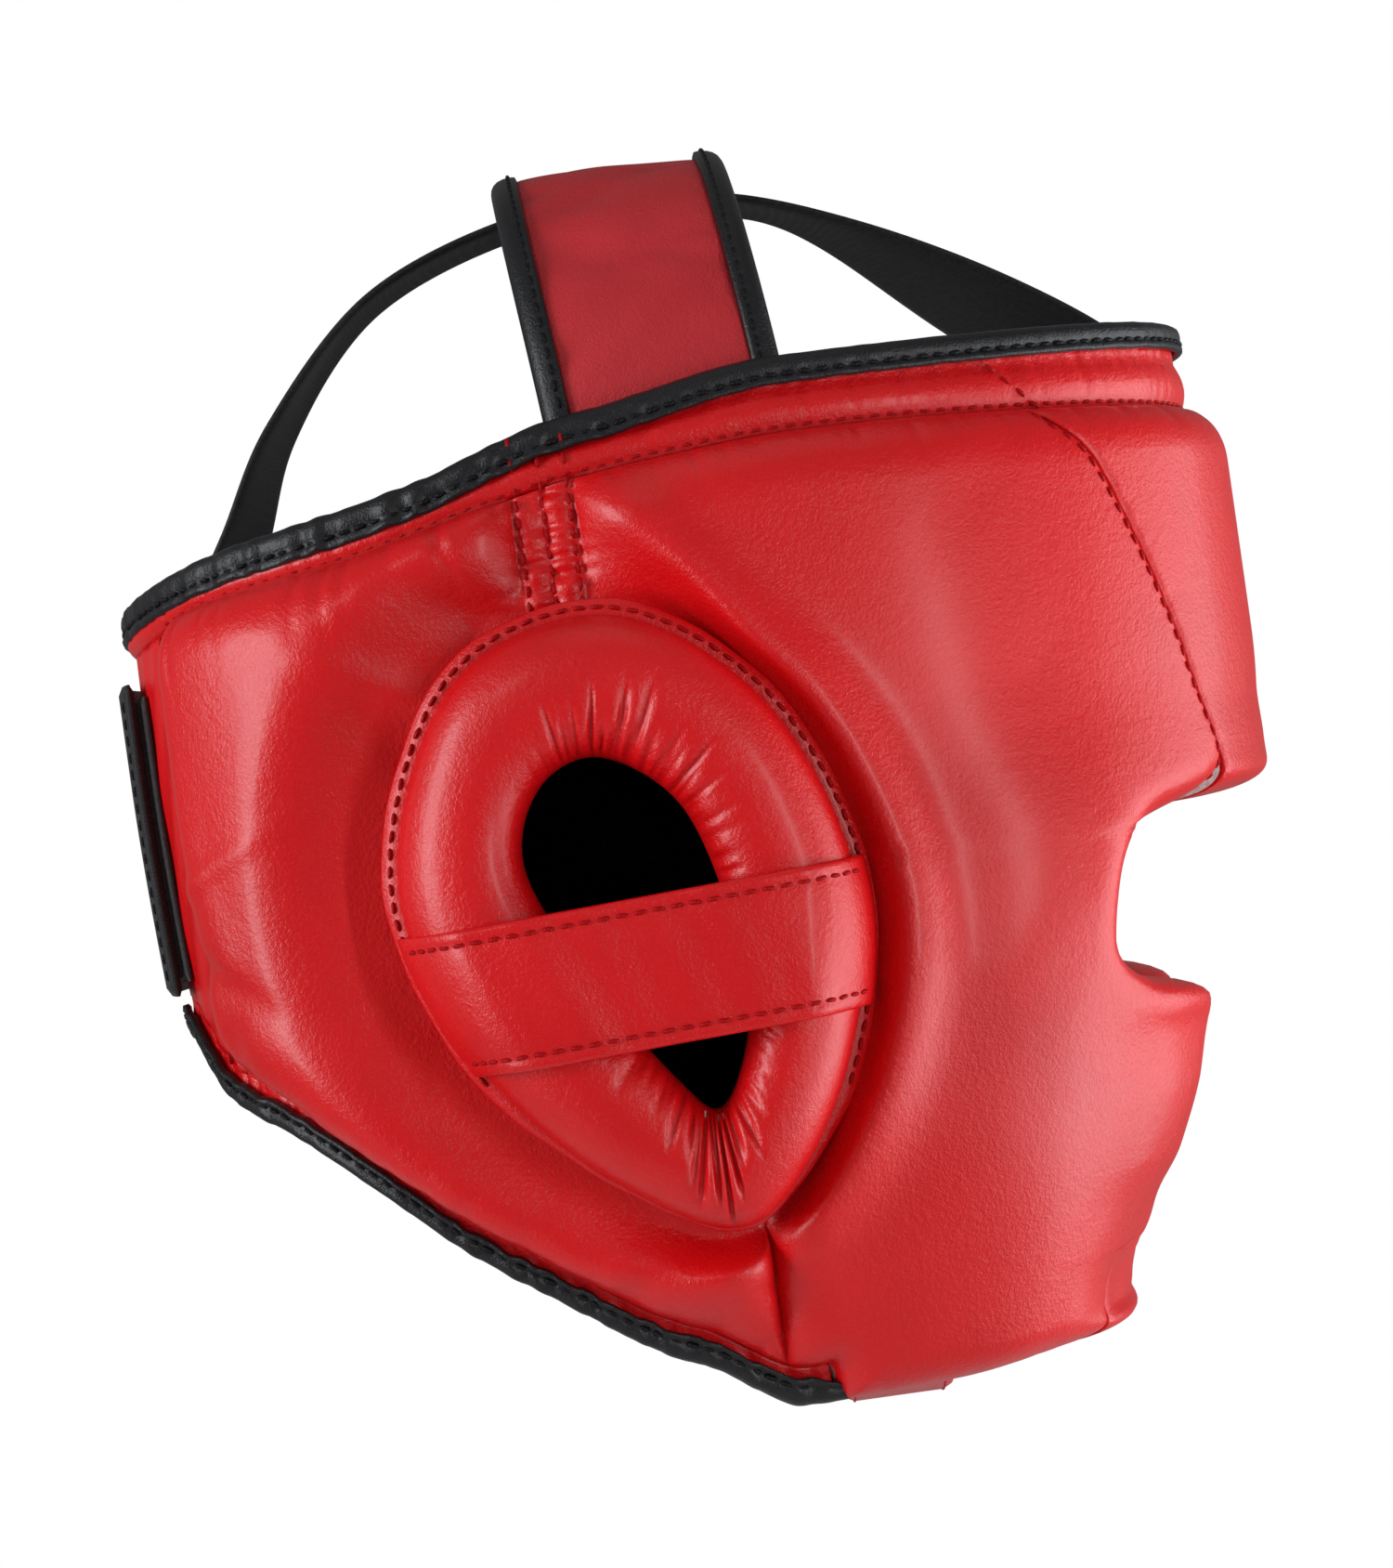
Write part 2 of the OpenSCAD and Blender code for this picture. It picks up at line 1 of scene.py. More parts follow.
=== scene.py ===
import math

import bpy
import numpy as np
from mathutils import Matrix, Vector


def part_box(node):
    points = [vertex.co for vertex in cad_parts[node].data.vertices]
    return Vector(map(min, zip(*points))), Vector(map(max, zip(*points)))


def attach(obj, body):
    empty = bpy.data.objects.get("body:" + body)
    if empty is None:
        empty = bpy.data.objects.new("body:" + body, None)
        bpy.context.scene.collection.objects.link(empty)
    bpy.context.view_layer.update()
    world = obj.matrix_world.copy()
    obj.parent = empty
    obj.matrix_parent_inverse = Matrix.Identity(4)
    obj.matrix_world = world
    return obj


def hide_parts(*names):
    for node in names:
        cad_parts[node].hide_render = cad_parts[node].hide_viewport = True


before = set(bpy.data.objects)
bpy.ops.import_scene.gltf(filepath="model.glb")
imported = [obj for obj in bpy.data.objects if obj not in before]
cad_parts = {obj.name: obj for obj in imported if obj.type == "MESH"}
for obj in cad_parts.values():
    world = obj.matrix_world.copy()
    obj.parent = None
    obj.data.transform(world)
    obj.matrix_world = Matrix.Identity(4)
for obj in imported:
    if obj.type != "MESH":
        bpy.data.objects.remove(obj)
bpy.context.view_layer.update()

# ---------------------------------------------------------------- driving sizes, in millimetres
MM = 0.001
SHELL, CLOSURE, CHIN = "shell", "closure", "chin_closure"


def node_box(name):
    """A node's lowest and highest corners in millimetres."""
    low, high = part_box(name)
    return np.array(low) / MM, np.array(high) / MM


RIM_LOW, RIM_HIGH = node_box("top_binding")
BINDING_HALF = 3.4                       # half the thickness of a folded binding
BINDING_HEIGHT = 8.0
RIM_FLARE = 0.953                        # the rim's share of the full half width over the ears
SHELL_FRONT = -RIM_LOW[1] - BINDING_HALF
SHELL_REAR = RIM_HIGH[1] - BINDING_HALF
SHELL_HALF = (RIM_HIGH[0] - BINDING_HALF) / RIM_FLARE
SQUARENESS = 2.4                         # 2 would be an ellipse seen from above
BROW_FACE = -node_box("forehead_cover")[0][1]    # how far forward the brow pad stands
SKIN = 1.3                               # thickness of leather and lining
FOAM_LEAST = 0.2                         # half the foam's thickness at a sewn edge
BAND_HALF = 1.2                          # half the thickness of two layers sewn flat
HEM = 8.4                                # height of the lower band behind the cheeks
HEM_GAP = 0.4                            # between a pad's foot and the band under it
HEAD_GAP = 0.6                           # between a pad's head and the top band
HEM_START = 76                           # angle where the lower binding starts
CLOSURE_EDGE = 174                       # angle where the rear flaps end
REAR_SEAM = 147                          # angle where the rear pads end and the flaps begin
CHIN_SIDE = 30.0                         # angle where the chin pad ends on each side
SEAM_LAP = 0.1                           # how far a panel reaches past its seam, in mm or degrees
BROW_ROLL = 1.5                          # how far the brow pad rolls down over its sewn edge
BROW_LOW = node_box("forehead_cover")[0][2] - BROW_ROLL
CHIN_HIGH = node_box("chin_cover")[1][2]
EAR_BASE = 7.0                           # the flange's back, out from the sewing surface
FLANGE_THICK = 2.0
RING_DEPTH = 16.0                        # how far the ring stands out from the flange
EAR_STRAP_WIDTH = 31.0
STITCH_PITCH = 3.7
STITCH_LENGTH = 2.7
STITCH_RADIUS = 0.48

# Outlines, as [angle, height], [height, angle] or [height, share] pairs
RIM_LINE = [(0, 114), (75, 114), (91, 107), (105, 98), (117, 94), (132, 91), (164, 84), (180, 82)]
BAND_LINE = [(0, 94), (40, 96), (75, 98), (86, 96), (97, 91), (114, 84), (137, 80), (164, 73), (180, 72)]
LOWER_LINE = [(0, -104), (30, -106), (60, -108), (79, -108), (92, -93), (101, -80), (112, -66), (124, -50),
              (137, -37), (152, -28), (165, -15), (180, -12)]
FRONT_LINE = [(-110, 30), (-87, 30), (-85, 12), (-66, 12), (-44, 11), (-34, 13), (-29, 20), (-25, 35),
              (-18, 42), (-7, 43), (3, 41), (8, 29), (9, 28), (39, 34), (74, 42), (85, 45), (96, 50)]
EAR_FRONT_LINE = [(-110, -17), (-64, -17), (-53, -20), (-38, -28), (-15, -35), (10, -33), (30, -24),
                  (44, -10), (54, 3), (62, 8), (110, 8)]
EAR_REAR_LINE = [(-110, -17), (-64, -17), (-53, -12), (-38, 5), (-15, 26), (10, 37), (30, 36), (44, 27),
                 (54, 13), (62, 8), (110, 8)]
HALF_WIDTH_LINE = [(-115, 0.77), (-95, 0.85), (-45, 0.98), (9, 1), (45, 1), (115, 0.94)]
FRONT_REACH_LINE = [(-115, 0.59), (-95, 0.65), (-45, 0.785), (9, 0.95), (45, 1), (115, 1)]
REAR_REACH_LINE = [(-115, 0.91), (-45, 0.96), (45, 1), (115, 1)]
# The ear ring's outer edge and its hole, as (y, z) points
EAR_OUTLINE = [(-2, 64), (-32, 42), (-46, 2), (-38, -37), (-16, -65), (8, -56), (36, -27), (49, 14), (32, 54)]
EAR_HOLE = [(4, 35), (-11, 24), (-18, 3), (-20, -21), (-12, -40), (-3, -33), (12, -9), (22, 14), (17, 30)]
# The elastic strap's outer face, as (y, z) points from the rear rim to the brow
ELASTIC_ROUTE = [(99, 73), (84, 97), (70, 121), (44, 147), (11, 159.6), (-14, 160), (-40, 159), (-69, 149),
                 (-98, 134), (-123, 116), (-129, 104)]


# ---------------------------------------------------------------- curves
def power(v, p):
    return np.sign(v) * np.abs(v) ** p


def mix(a, b, k):
    return a + (b - a) * k


def smooth(x):
    k = np.clip(x, 0, 1)
    return k * k * (3 - 2 * k)


def curve(points):
    """A smooth function through points that never overshoots them."""
    xs, ys = np.array(points, float).T
    gap, rise = np.diff(xs), np.diff(ys) / np.diff(xs)
    slope = np.zeros_like(ys)
    slope[0], slope[-1] = rise[0], rise[-1]
    for i in range(1, len(xs) - 1):
        if rise[i - 1] * rise[i] > 0:
            near, far = 2 * gap[i] + gap[i - 1], gap[i] + 2 * gap[i - 1]
            slope[i] = (near + far) / (near / rise[i - 1] + far / rise[i])

    def at(x):
        x = np.clip(x, xs[0], xs[-1])
        i = np.clip(np.searchsorted(xs, x, side="right") - 1, 0, len(xs) - 2)
        h, k = gap[i], (x - xs[i]) / gap[i]
        return (
            (2 * k**3 - 3 * k**2 + 1) * ys[i]
            + (k**3 - 2 * k**2 + k) * h * slope[i]
            + (3 * k**2 - 2 * k**3) * ys[i + 1]
            + (k**3 - k**2) * h * slope[i + 1]
        )

    return at


def spline(points, k, closed):
    """Points on the smooth curve through points, at shares k of its length in points."""
    p = np.array(points, float)
    n = len(p) if closed else len(p) - 1
    s = np.clip(k, 0, 1 - 1e-9) * n
    i = np.floor(s).astype(int)
    f = (s - i)[..., None]
    pick = (lambda j: p[j % n]) if closed else (lambda j: p[np.clip(j, 0, n)])
    a, b, c, d = pick(i - 1), pick(i), pick(i + 1), pick(i + 2)
    return (2 * b + (c - a) * f + (2 * a - 5 * b + 4 * c - d) * f**2 + (3 * b - a - 3 * c + d) * f**3) / 2


rim = curve(RIM_LINE)
band_low = curve(BAND_LINE)
low_rim = curve(LOWER_LINE)
front_edge = curve(FRONT_LINE)
ear_front = curve(EAR_FRONT_LINE)
ear_rear = curve(EAR_REAR_LINE)
width_share = curve(HALF_WIDTH_LINE)
front_share = curve(FRONT_REACH_LINE)
rear_share = curve(REAR_REACH_LINE)


def shell(angle, z, off=0.0):
    """A point on the shell: angle round the head from the brow, height, and distance outward."""
    angle, z = np.asarray(angle, float), np.asarray(z, float)
    s, c = np.sin(np.radians(angle)), np.cos(np.radians(angle))
    reach = np.where(c > 0, SHELL_FRONT * front_share(z), SHELL_REAR * rear_share(z))
    x = -(SHELL_HALF * width_share(z) + off) * power(s, 2 / SQUARENESS)
    y = -(reach + off) * power(c, 2 / SQUARENESS)
    return np.stack(np.broadcast_arrays(x, y, z), -1)


def angle_at(y, z):
    """The angle at which the right side passes through y at a height."""
    reach = np.where(np.asarray(y) < 0, SHELL_FRONT * front_share(z), SHELL_REAR * rear_share(z))
    return np.degrees(np.arccos(power(np.clip(-y / reach, -1, 1), SQUARENESS / 2)))


def side_x(y, z):
    return shell(angle_at(y, z), z)[..., 0]


def foot(t):
    return low_rim(t) + HEM_GAP + HEM * smooth((t - HEM_START + 2) / 2.4)


def head(t):
    return band_low(t) - HEAD_GAP


# ---------------------------------------------------------------- edges, creases and padding relief
class Edge:
    """A line on the shell that padding rises from, or that is stitched."""

    def __init__(self, t, z):
        self.points = shell(t, z)
        steps = np.linalg.norm(np.diff(self.points, axis=0), axis=1)
        self.at = np.concatenate([[0], np.cumsum(steps)])

    def measure(self, p):
        """Distance from the line, and how far along it the nearest point is."""
        flat = p.reshape(-1, 3)
        best, where = np.full(len(flat), 1e9), np.zeros(len(flat))
        a, ab = self.points[:-1], np.diff(self.points, axis=0)
        for i in range(len(a)):
            k = np.clip((flat - a[i]) @ ab[i] / (ab[i] @ ab[i]), 0, 1)
            d = np.linalg.norm(flat - a[i] - k[:, None] * ab[i], axis=1)
            near = d < best
            best[near] = d[near]
            where[near] = self.at[i] + k[near] * (self.at[i + 1] - self.at[i])
        return best.reshape(p.shape[:-1]), where.reshape(p.shape[:-1])


def upright(y, low, high, steps=24):
    """An edge straight up the right side at one y."""
    z = np.linspace(low, high, steps)
    return Edge(angle_at(np.full(steps, float(y)), z), z)


def level(height, first, last, steps=48):
    t = np.linspace(first, last, steps)
    return Edge(t, height(t))


def creases(seed, length, spacing, depth, reach):
    """Random pulls that run square to a line of stitches: where, how deep, how wide and how long."""
    rng = np.random.default_rng(seed)
    n = max(3, int(length / spacing))
    at = (np.arange(n) + rng.uniform(0.15, 0.85, n)) * length / n
    return np.stack([at, depth * rng.uniform(0.25, 1.0, n), spacing * rng.uniform(0.12, 0.3, n),
                     reach * rng.uniform(0.45, 1.2, n)], -1)


def pulled(marks, along, away):
    """How far the creases sink the surface at a distance along and away from the line."""
    sunk = np.zeros_like(along)
    for at, depth, wide, far in marks:
        sunk += depth * np.exp(-(((along - at) / wide) ** 2)) * np.exp(-((away / far) ** 2))
    return sunk


def rounding(x, p=2.1):
    """0 at a sewn edge, rising steeply and then level, as foam under a cover does."""
    return (1 - (1 - np.clip(x, 0, 1)) ** p) ** (1 / p)


EDGE_CLOSED = 0.7        # how far in from a free edge the cover and the lining lie together


class Pad:
    """The outer and inner faces of a padded panel, as distances from the sewing surface."""

    def __init__(self, out, depth):
        self.out = out              # height of the full padding over the sewing surface
        self.depth = depth          # how far it reaches inward
        self.thin = []              # sewn edges, with the radius the padding rises over
        self.thick = []             # turned edges, with a radius and how far out their middle lies
        self.grooves = []           # sunk lines, with a depth and a width
        self.pulls = []             # lines with creases that run square to them
        self.extra = []             # functions that change the fullness and the sunk depth

    def faces(self, t, z):
        p = shell(t, z)
        full = np.ones(p.shape[:-1])
        middle = np.zeros(p.shape[:-1])
        sunk = np.zeros(p.shape[:-1])
        for edge, radius in self.thin:
            full *= rounding(edge.measure(p)[0] / radius)
        for edge, radius, deep in self.thick:
            d = np.maximum(edge.measure(p)[0] - EDGE_CLOSED, 0)
            full *= rounding(d / radius, 2.6)
            middle += deep * (1 - smooth(d / (1.6 * radius)))
        for edge, deep, wide in self.grooves:
            sunk += deep * np.exp(-((edge.measure(p)[0] / wide) ** 2))
        for edge, marks in self.pulls:
            d, s = edge.measure(p)
            sunk += pulled(marks, s, d)
        for extra in self.extra:
            full, sunk = extra(t, z, p, full, sunk)
        out = np.maximum(mix(middle, self.out(t, z), full) - sunk, middle) + SKIN + FOAM_LEAST
        inner = mix(middle, -self.depth(t, z), full) - SKIN - FOAM_LEAST
        return out, inner


EAR_LOOP = spline(EAR_OUTLINE, np.linspace(0, 1, 160, endpoint=False), True)
EAR_CENTRE_Z = 5         # height that angles round the ear are taken about
CREST_OUT = 12           # how far out from the sewing surface the padding's crest beside the ear lies
# The padding beside the ear ring: the first value in front of the ear, the second behind it
LOW_WIDTH = (4.5, 29)    # over what width the padding rises from beside the ring
LOW_SHARE = (0.20, 0.10)             # the padding's height there, as a share of its full height
CREST_AWAY = (7.8, 32)   # how far the crest lies from the ring
CREST_HEIGHT = (4.6, 0.6)
CREST_INNER_FADE = (4, 9)
CREST_OUTER_FADE = 8
LOW_START = 2.5          # the padding stays low up to this far from the ring


def outside_ear(p):
    """Distance outside the ear ring's outer edge, 0 within it, and the angle round the ear."""
    y, z = p[..., 1], p[..., 2]
    d = np.full(y.shape, 1e9)
    within = np.zeros(y.shape, bool)
    for a, b in zip(EAR_LOOP, np.roll(EAR_LOOP, -1, axis=0)):
        ab = b - a
        k = np.clip(((y - a[0]) * ab[0] + (z - a[1]) * ab[1]) / (ab @ ab), 0, 1)
        d = np.minimum(d, np.hypot(y - a[0] - k * ab[0], z - a[1] - k * ab[1]))
        crosses = (a[1] > z) != (b[1] > z)
        within ^= crosses & (y < ab[0] * (z - a[1]) / (ab[1] if ab[1] else 1e-9) + a[0])
    return np.where(within, 0, d), np.arctan2(z - EAR_CENTRE_Z, y)


def ear_channel(t, z, p, full, sunk):
    """A narrow furrow and a crest in front of the ear ring, and a wide hollow behind it."""
    d, around = outside_ear(shell(t, z, CREST_OUT))
    behind = smooth(0.5 + 1.1 * np.cos(around - 0.15))
    rise = smooth((d - LOW_START) / mix(*LOW_WIDTH, behind))
    past = d - mix(*CREST_AWAY, behind)
    fade = np.where(past > 0, CREST_OUTER_FADE, mix(*CREST_INNER_FADE, behind))
    crest = mix(*CREST_HEIGHT, behind) * np.exp(-((past / fade) ** 2))
    return full * mix(mix(*LOW_SHARE, behind), 1, rise), sunk - crest * full


SEAM_TOP = 62            # height where the seam over the ear meets the ear ring
SIDE_SEAM_Y = 8
UNDER_SEAM_Y = -17
STRIP_WIDTH = 6.5        # each of the two gathered strips beside the seam over the ear
STRIP_PUFF = 1.7
STRIP_RIB = 0.45         # depth of the ribs across a strip
STRIP_RISE = 11          # over what width the padding rises outside the strips


def seam_strips(t, z, p, full, sunk):
    """Two gathered strips run down beside the seam over the ear; the padding rises outside them."""
    away = p[..., 1] - SIDE_SEAM_Y
    d = np.abs(away)
    near = smooth((z - SEAM_TOP + 12) / 8)
    low = rounding((d - STRIP_WIDTH) / STRIP_RISE, 1.7)
    puff = STRIP_PUFF * np.sin(np.pi * np.clip(d / STRIP_WIDTH, 0, 1)) ** 0.7
    wave = STRIP_RIB * np.sin(z * 1.45 + 1.1 * np.sin(z * 0.4) + np.sign(away))
    ribs = wave * (d < STRIP_WIDTH + 3) * np.exp(-((d / (STRIP_WIDTH + 1)) ** 4))
    return full * mix(1, low, near), sunk - near * (puff + ribs)


class Rumple:
    """Slow folds in a cover: seeded, each with its own place, direction, length and depth."""

    def __init__(self, seed, count, depth, box):
        rng = np.random.default_rng(seed)
        (y0, y1), (z0, z1) = box
        self.folds = [
            (rng.uniform(y0, y1), rng.uniform(z0, z1), rng.uniform(0, math.pi),
             rng.uniform(2.2, 6.5), rng.uniform(8, 26), depth * rng.uniform(-0.7, 1.0))
            for _ in range(count)
        ]

    def __call__(self, t, z, p, full, sunk):
        for y0, z0, turn, wide, far, deep in self.folds:
            dy, dz = p[..., 1] - y0, z - z0
            along = dy * math.cos(turn) + dz * math.sin(turn)
            across = dz * math.cos(turn) - dy * math.sin(turn)
            sunk = sunk + deep * np.exp(-((across / wide) ** 2) - (along / far) ** 2)
        return full, sunk


# How far the padding stands out by height, over the middle of the face and further round it
BROW_OUT = BROW_FACE - SHELL_FRONT - SKIN
middle_out = curve([(-50, 14), (-10, 15), (BROW_LOW, BROW_OUT + 6), (20, BROW_OUT + 3.2),
                    (32, BROW_OUT + 0.6), (45, BROW_OUT), (100, BROW_OUT)])
round_out = curve([(-50, 14.5), (-10, 16.5), (5, 15.5), (40, BROW_OUT + 1), (100, BROW_OUT)])
side_share = curve([(0, 1), (48, 1), (82, 0), (180, 0)])
beside_ear_out = curve([(-60, 8), (0, 9), (60, 9.5)])
side_inward = curve([(0, 24), (40, 19), (70, 12), (95, 9), (125, 9), (150, 6)])
rear_height = curve([(80, 9.5), (125, 12.5), (140, 11), (150, 6)])
cheek_bulge = curve([(-112, 8), (-105, 6.5), (-98, -4), (-92, -5), (-85, -3), (-76, -1), (-67, 2), (-54, 3),
                     (-40, 1.5), (-32, 4), (-24, 0), (10, 0)])


def face_out(t, z):
    return mix(middle_out(z), round_out(z), smooth((np.abs(t) - 22) / 22))


def side_out(t, z):
    out = mix(beside_ear_out(z), face_out(t, z), side_share(t))
    return out + cheek_bulge(z) * (1 - smooth((t - 20) / 26))


def side_depth(t, z):
    return side_inward(t)


def rear_out(t, z):
    return rear_height(t)


BROW_GROOVE = (0.55, 0.9)      # depth and width of the line sunk along the brow's side seams
CHIN_GROOVE = (0.3, 1.0)
MOUTH_EDGE = (6, 2)            # radius of the pads' edges at the mouth, and how far out their middle is
side_seam = upright(SIDE_SEAM_Y, SEAM_TOP, 92)
under_seam = upright(UNDER_SEAM_Y, -104, -62)
cheek_top = level(band_low, 48, 93)
cheek_foot = level(foot, 26, 86, 120)
rear_top = level(band_low, 92, REAR_SEAM)
rear_foot = level(foot, 78, REAR_SEAM, 90)
rear_edge = Edge(np.full(30, float(REAR_SEAM)), np.linspace(foot(REAR_SEAM), band_low(REAR_SEAM), 30))
z_brow = np.linspace(BROW_LOW + 3, 95, 30)
brow_seam = Edge(front_edge(z_brow), z_brow)
z_face = np.linspace(-74, BROW_LOW + 1, 60)
face_edge = Edge(front_edge(z_face), z_face)
z_mouth = np.linspace(-84.9, -66, 24)
mouth_edge = Edge(front_edge(z_mouth), z_mouth)
chin_seam = Edge(np.concatenate([np.full(12, CHIN_SIDE), np.linspace(CHIN_SIDE - 1, 13, 12)]),
                 np.concatenate([np.linspace(-108, -86.7, 12), np.full(12, -86.5)]))

cheek_pad = Pad(side_out, side_depth)
cheek_pad.thin = [(cheek_top, 14), (cheek_foot, 9), (under_seam, 10)]
cheek_pad.thick = [(face_edge, 12, -9), (mouth_edge, *MOUTH_EDGE)]
cheek_pad.grooves = [(brow_seam, *BROW_GROOVE), (chin_seam, *CHIN_GROOVE)]
cheek_pad.pulls = [
    (cheek_top, creases(11, 110, 7, 0.8, 6)),
    (side_seam, creases(12, 34, 6, 1.4, 9)),
    (under_seam, creases(13, 44, 9, 0.5, 8)),
    (brow_seam, creases(14, 95, 6, 0.28, 3)),
    (cheek_foot, creases(15, 90, 8, 0.5, 4)),
]
cheek_pad.extra = [ear_channel, seam_strips, Rumple(16, 10, 0.35, ((-90, 0), (-90, 90)))]

rear_pad = Pad(rear_out, side_depth)
rear_pad.thin = [(rear_top, 14), (rear_foot, 17), (rear_edge, 11), (under_seam, 12)]
rear_pad.pulls = [
    (rear_top, creases(21, 110, 7, 1.5, 10)),
    (side_seam, creases(22, 34, 6, 1.6, 12)),
    (rear_edge, creases(23, 95, 9, 0.5, 6)),
    (rear_foot, creases(24, 120, 9, 1.0, 8)),
    (under_seam, creases(25, 44, 9, 0.6, 8)),
]
rear_pad.extra = [ear_channel, seam_strips, Rumple(26, 36, 2.0, ((-10, 90), (-80, 80)))]

brow_foot = level(lambda t: np.full(t.shape, BROW_LOW), -32, 32, 40)
brow_top = level(lambda t: band_low(np.abs(t)), -52, 52, 60)
left_brow_seam = Edge(-front_edge(z_brow), z_brow)

brow_pad = Pad(face_out, lambda t, z: side_depth(np.abs(t), z))
brow_pad.thin = [(brow_top, 12)]
brow_pad.thick = [(brow_foot, 8, -8)]
brow_pad.grooves = [(brow_seam, *BROW_GROOVE), (left_brow_seam, *BROW_GROOVE)]
brow_pad.pulls = [
    (brow_top, creases(31, 230, 8, 0.9, 6)),
    (brow_seam, creases(32, 95, 6, 0.3, 3)),
    (left_brow_seam, creases(33, 95, 6, 0.3, 3)),
]

MOUTH_LOW = CHIN_HIGH + 2
chin_top = curve([(0, MOUTH_LOW), (10, MOUTH_LOW + 0.2), (13, -85.2), (30, -86.9)])
mouth_low = Edge(np.linspace(-12, 12, 16), np.full(16, MOUTH_LOW))
chin_foot = level(lambda t: low_rim(np.abs(t)), -34, 34, 34)
chin_pad = Pad(lambda t, z: side_out(np.abs(t), z), lambda t, z: 16 + 0 * z)
chin_pad.thin = [(chin_foot, 9)]
chin_pad.thick = [(mouth_low, *MOUTH_EDGE)]
left_chin_seam = Edge(np.full(12, -CHIN_SIDE), np.linspace(-108, -87, 12))
chin_pad.grooves = [(chin_seam, *CHIN_GROOVE), (left_chin_seam, *CHIN_GROOVE)]


SETTLE_ROUNDS = 16
SETTLE_STEP = 0.8        # how far each round moves towards the new height


def settle(angle_for, low, high, v):
    """Angles and heights of a panel's points. Each depends on the other, so they are found in rounds."""
    z = 0 * v
    for _ in range(SETTLE_ROUNDS):
        t = angle_for(z)
        z = mix(z, mix(low(t), high(t), v), SETTLE_STEP)
    return t, z


# The cheek's front edge as its inner columns see it, without the step at the mouth
plain_front = curve([(-110, 30), (-60, 30), (-25, 38)] + [p for p in FRONT_LINE if p[0] > -20])


BROW_SEAM_GAP = 0.15     # degrees between the seam and each panel beside it


def cheek_place(u, v):
    def angle_for(z):
        step = front_edge(z) + BROW_SEAM_GAP - plain_front(z)
        return mix(plain_front(z), angle_at(ear_front(z) + SEAM_LAP, z), u) + step * (1 - u) ** 4
    return settle(angle_for, foot, head, v)


def rear_place(u, v):
    return settle(lambda z: mix(angle_at(ear_rear(z) - SEAM_LAP, z), REAR_SEAM, u), foot, head, v)


def brow_place(u, v):
    return settle(lambda z: mix(-1, 1, u) * (front_edge(z) - BROW_SEAM_GAP),
                  lambda t: BROW_LOW + 0 * t, lambda t: head(np.abs(t)), v)


def chin_place(u, v):
    t = mix(-CHIN_SIDE - SEAM_LAP, CHIN_SIDE + SEAM_LAP, u)
    return t, mix(low_rim(np.abs(t)), chin_top(np.abs(t)), v)


# ---------------------------------------------------------------- materials
def new_material(name, roughness):
    mat = bpy.data.materials.new(name)
    mat.use_nodes = True
    nodes, links = mat.node_tree.nodes, mat.node_tree.links
    shader = nodes["Principled BSDF"]
    shader.inputs["Roughness"].default_value = roughness
    place = nodes.new("ShaderNodeTexCoord")

    def add(kind, **inputs):
        n = nodes.new(kind)
        for key, value in inputs.items():
            socket = n.inputs[key.replace("_", " ")]
            if isinstance(value, bpy.types.NodeSocket):
                links.new(value, socket)
            else:
                socket.default_value = value
        return n

    return mat, shader, place.outputs["Object"], add, links


def ramp(add, factor, stops):
    n = add("ShaderNodeValToRGB", Fac=factor)
    for i, (at, colour) in enumerate(stops):
        e = n.color_ramp.elements[i] if i < 2 else n.color_ramp.elements.new(at)
        e.position = at
        e.color = (*colour, 1)
    return n.outputs["Color"]


def spread(add, value, low, high):
    return add("ShaderNodeMapRange", Value=value, To_Min=low, To_Max=high).outputs["Result"]


def roughen(add, links, shader, height, strength, distance):
    bump = add("ShaderNodeBump", Height=height, Strength=strength, Distance=distance)
    links.new(bump.outputs["Normal"], shader.inputs["Normal"])


def combine(add, kind, first, second):
    """Two values put together by a math node of one kind, such as ADD."""
    node = add("ShaderNodeMath", Value=first)
    node.operation = kind
    if isinstance(second, bpy.types.NodeSocket):
        node.id_data.links.new(second, node.inputs[1])
    else:
        node.inputs[1].default_value = second
    return node.outputs[0]


def leather(name, dark, main, light, rough, grain, coat):
    """Coated leather: pebbled grain, slow colour change, fine scuffs and patchy roughness."""
    mat, shader, at, add, links = new_material(name, rough[0])
    warp = add("ShaderNodeTexNoise", Vector=at, Scale=420.0, Detail=2.0)
    cells = add("ShaderNodeTexVoronoi", Vector=at, Scale=1 / (grain * MM))
    cells.feature = "SMOOTH_F1"
    cells.inputs["Smoothness"].default_value = 0.35
    fine = add("ShaderNodeTexNoise", Vector=at, Scale=2400.0, Detail=3.0)
    slow = add("ShaderNodeTexNoise", Vector=at, Scale=16.0, Detail=4.0)
    patchy = add("ShaderNodeTexNoise", Vector=at, Scale=95.0, Detail=4.0)
    colour = ramp(add, slow.outputs["Fac"], [(0.3, dark), (0.7, light), (0.5, main)])
    links.new(colour, shader.inputs["Base Color"])
    links.new(spread(add, patchy.outputs["Fac"], rough[0], rough[1]), shader.inputs["Roughness"])
    pebbles = combine(add, "MULTIPLY", cells.outputs["Distance"], 0.55)
    pores = combine(add, "ADD", pebbles, fine.outputs["Fac"])
    relief = combine(add, "ADD", pores, warp.outputs["Fac"])
    roughen(add, links, shader, relief, 0.6, 0.26 * MM)
    shader.inputs["Coat Weight"].default_value = coat
    shader.inputs["Coat Roughness"].default_value = 0.22
    shader.inputs["Specular IOR Level"].default_value = 0.45
    return mat


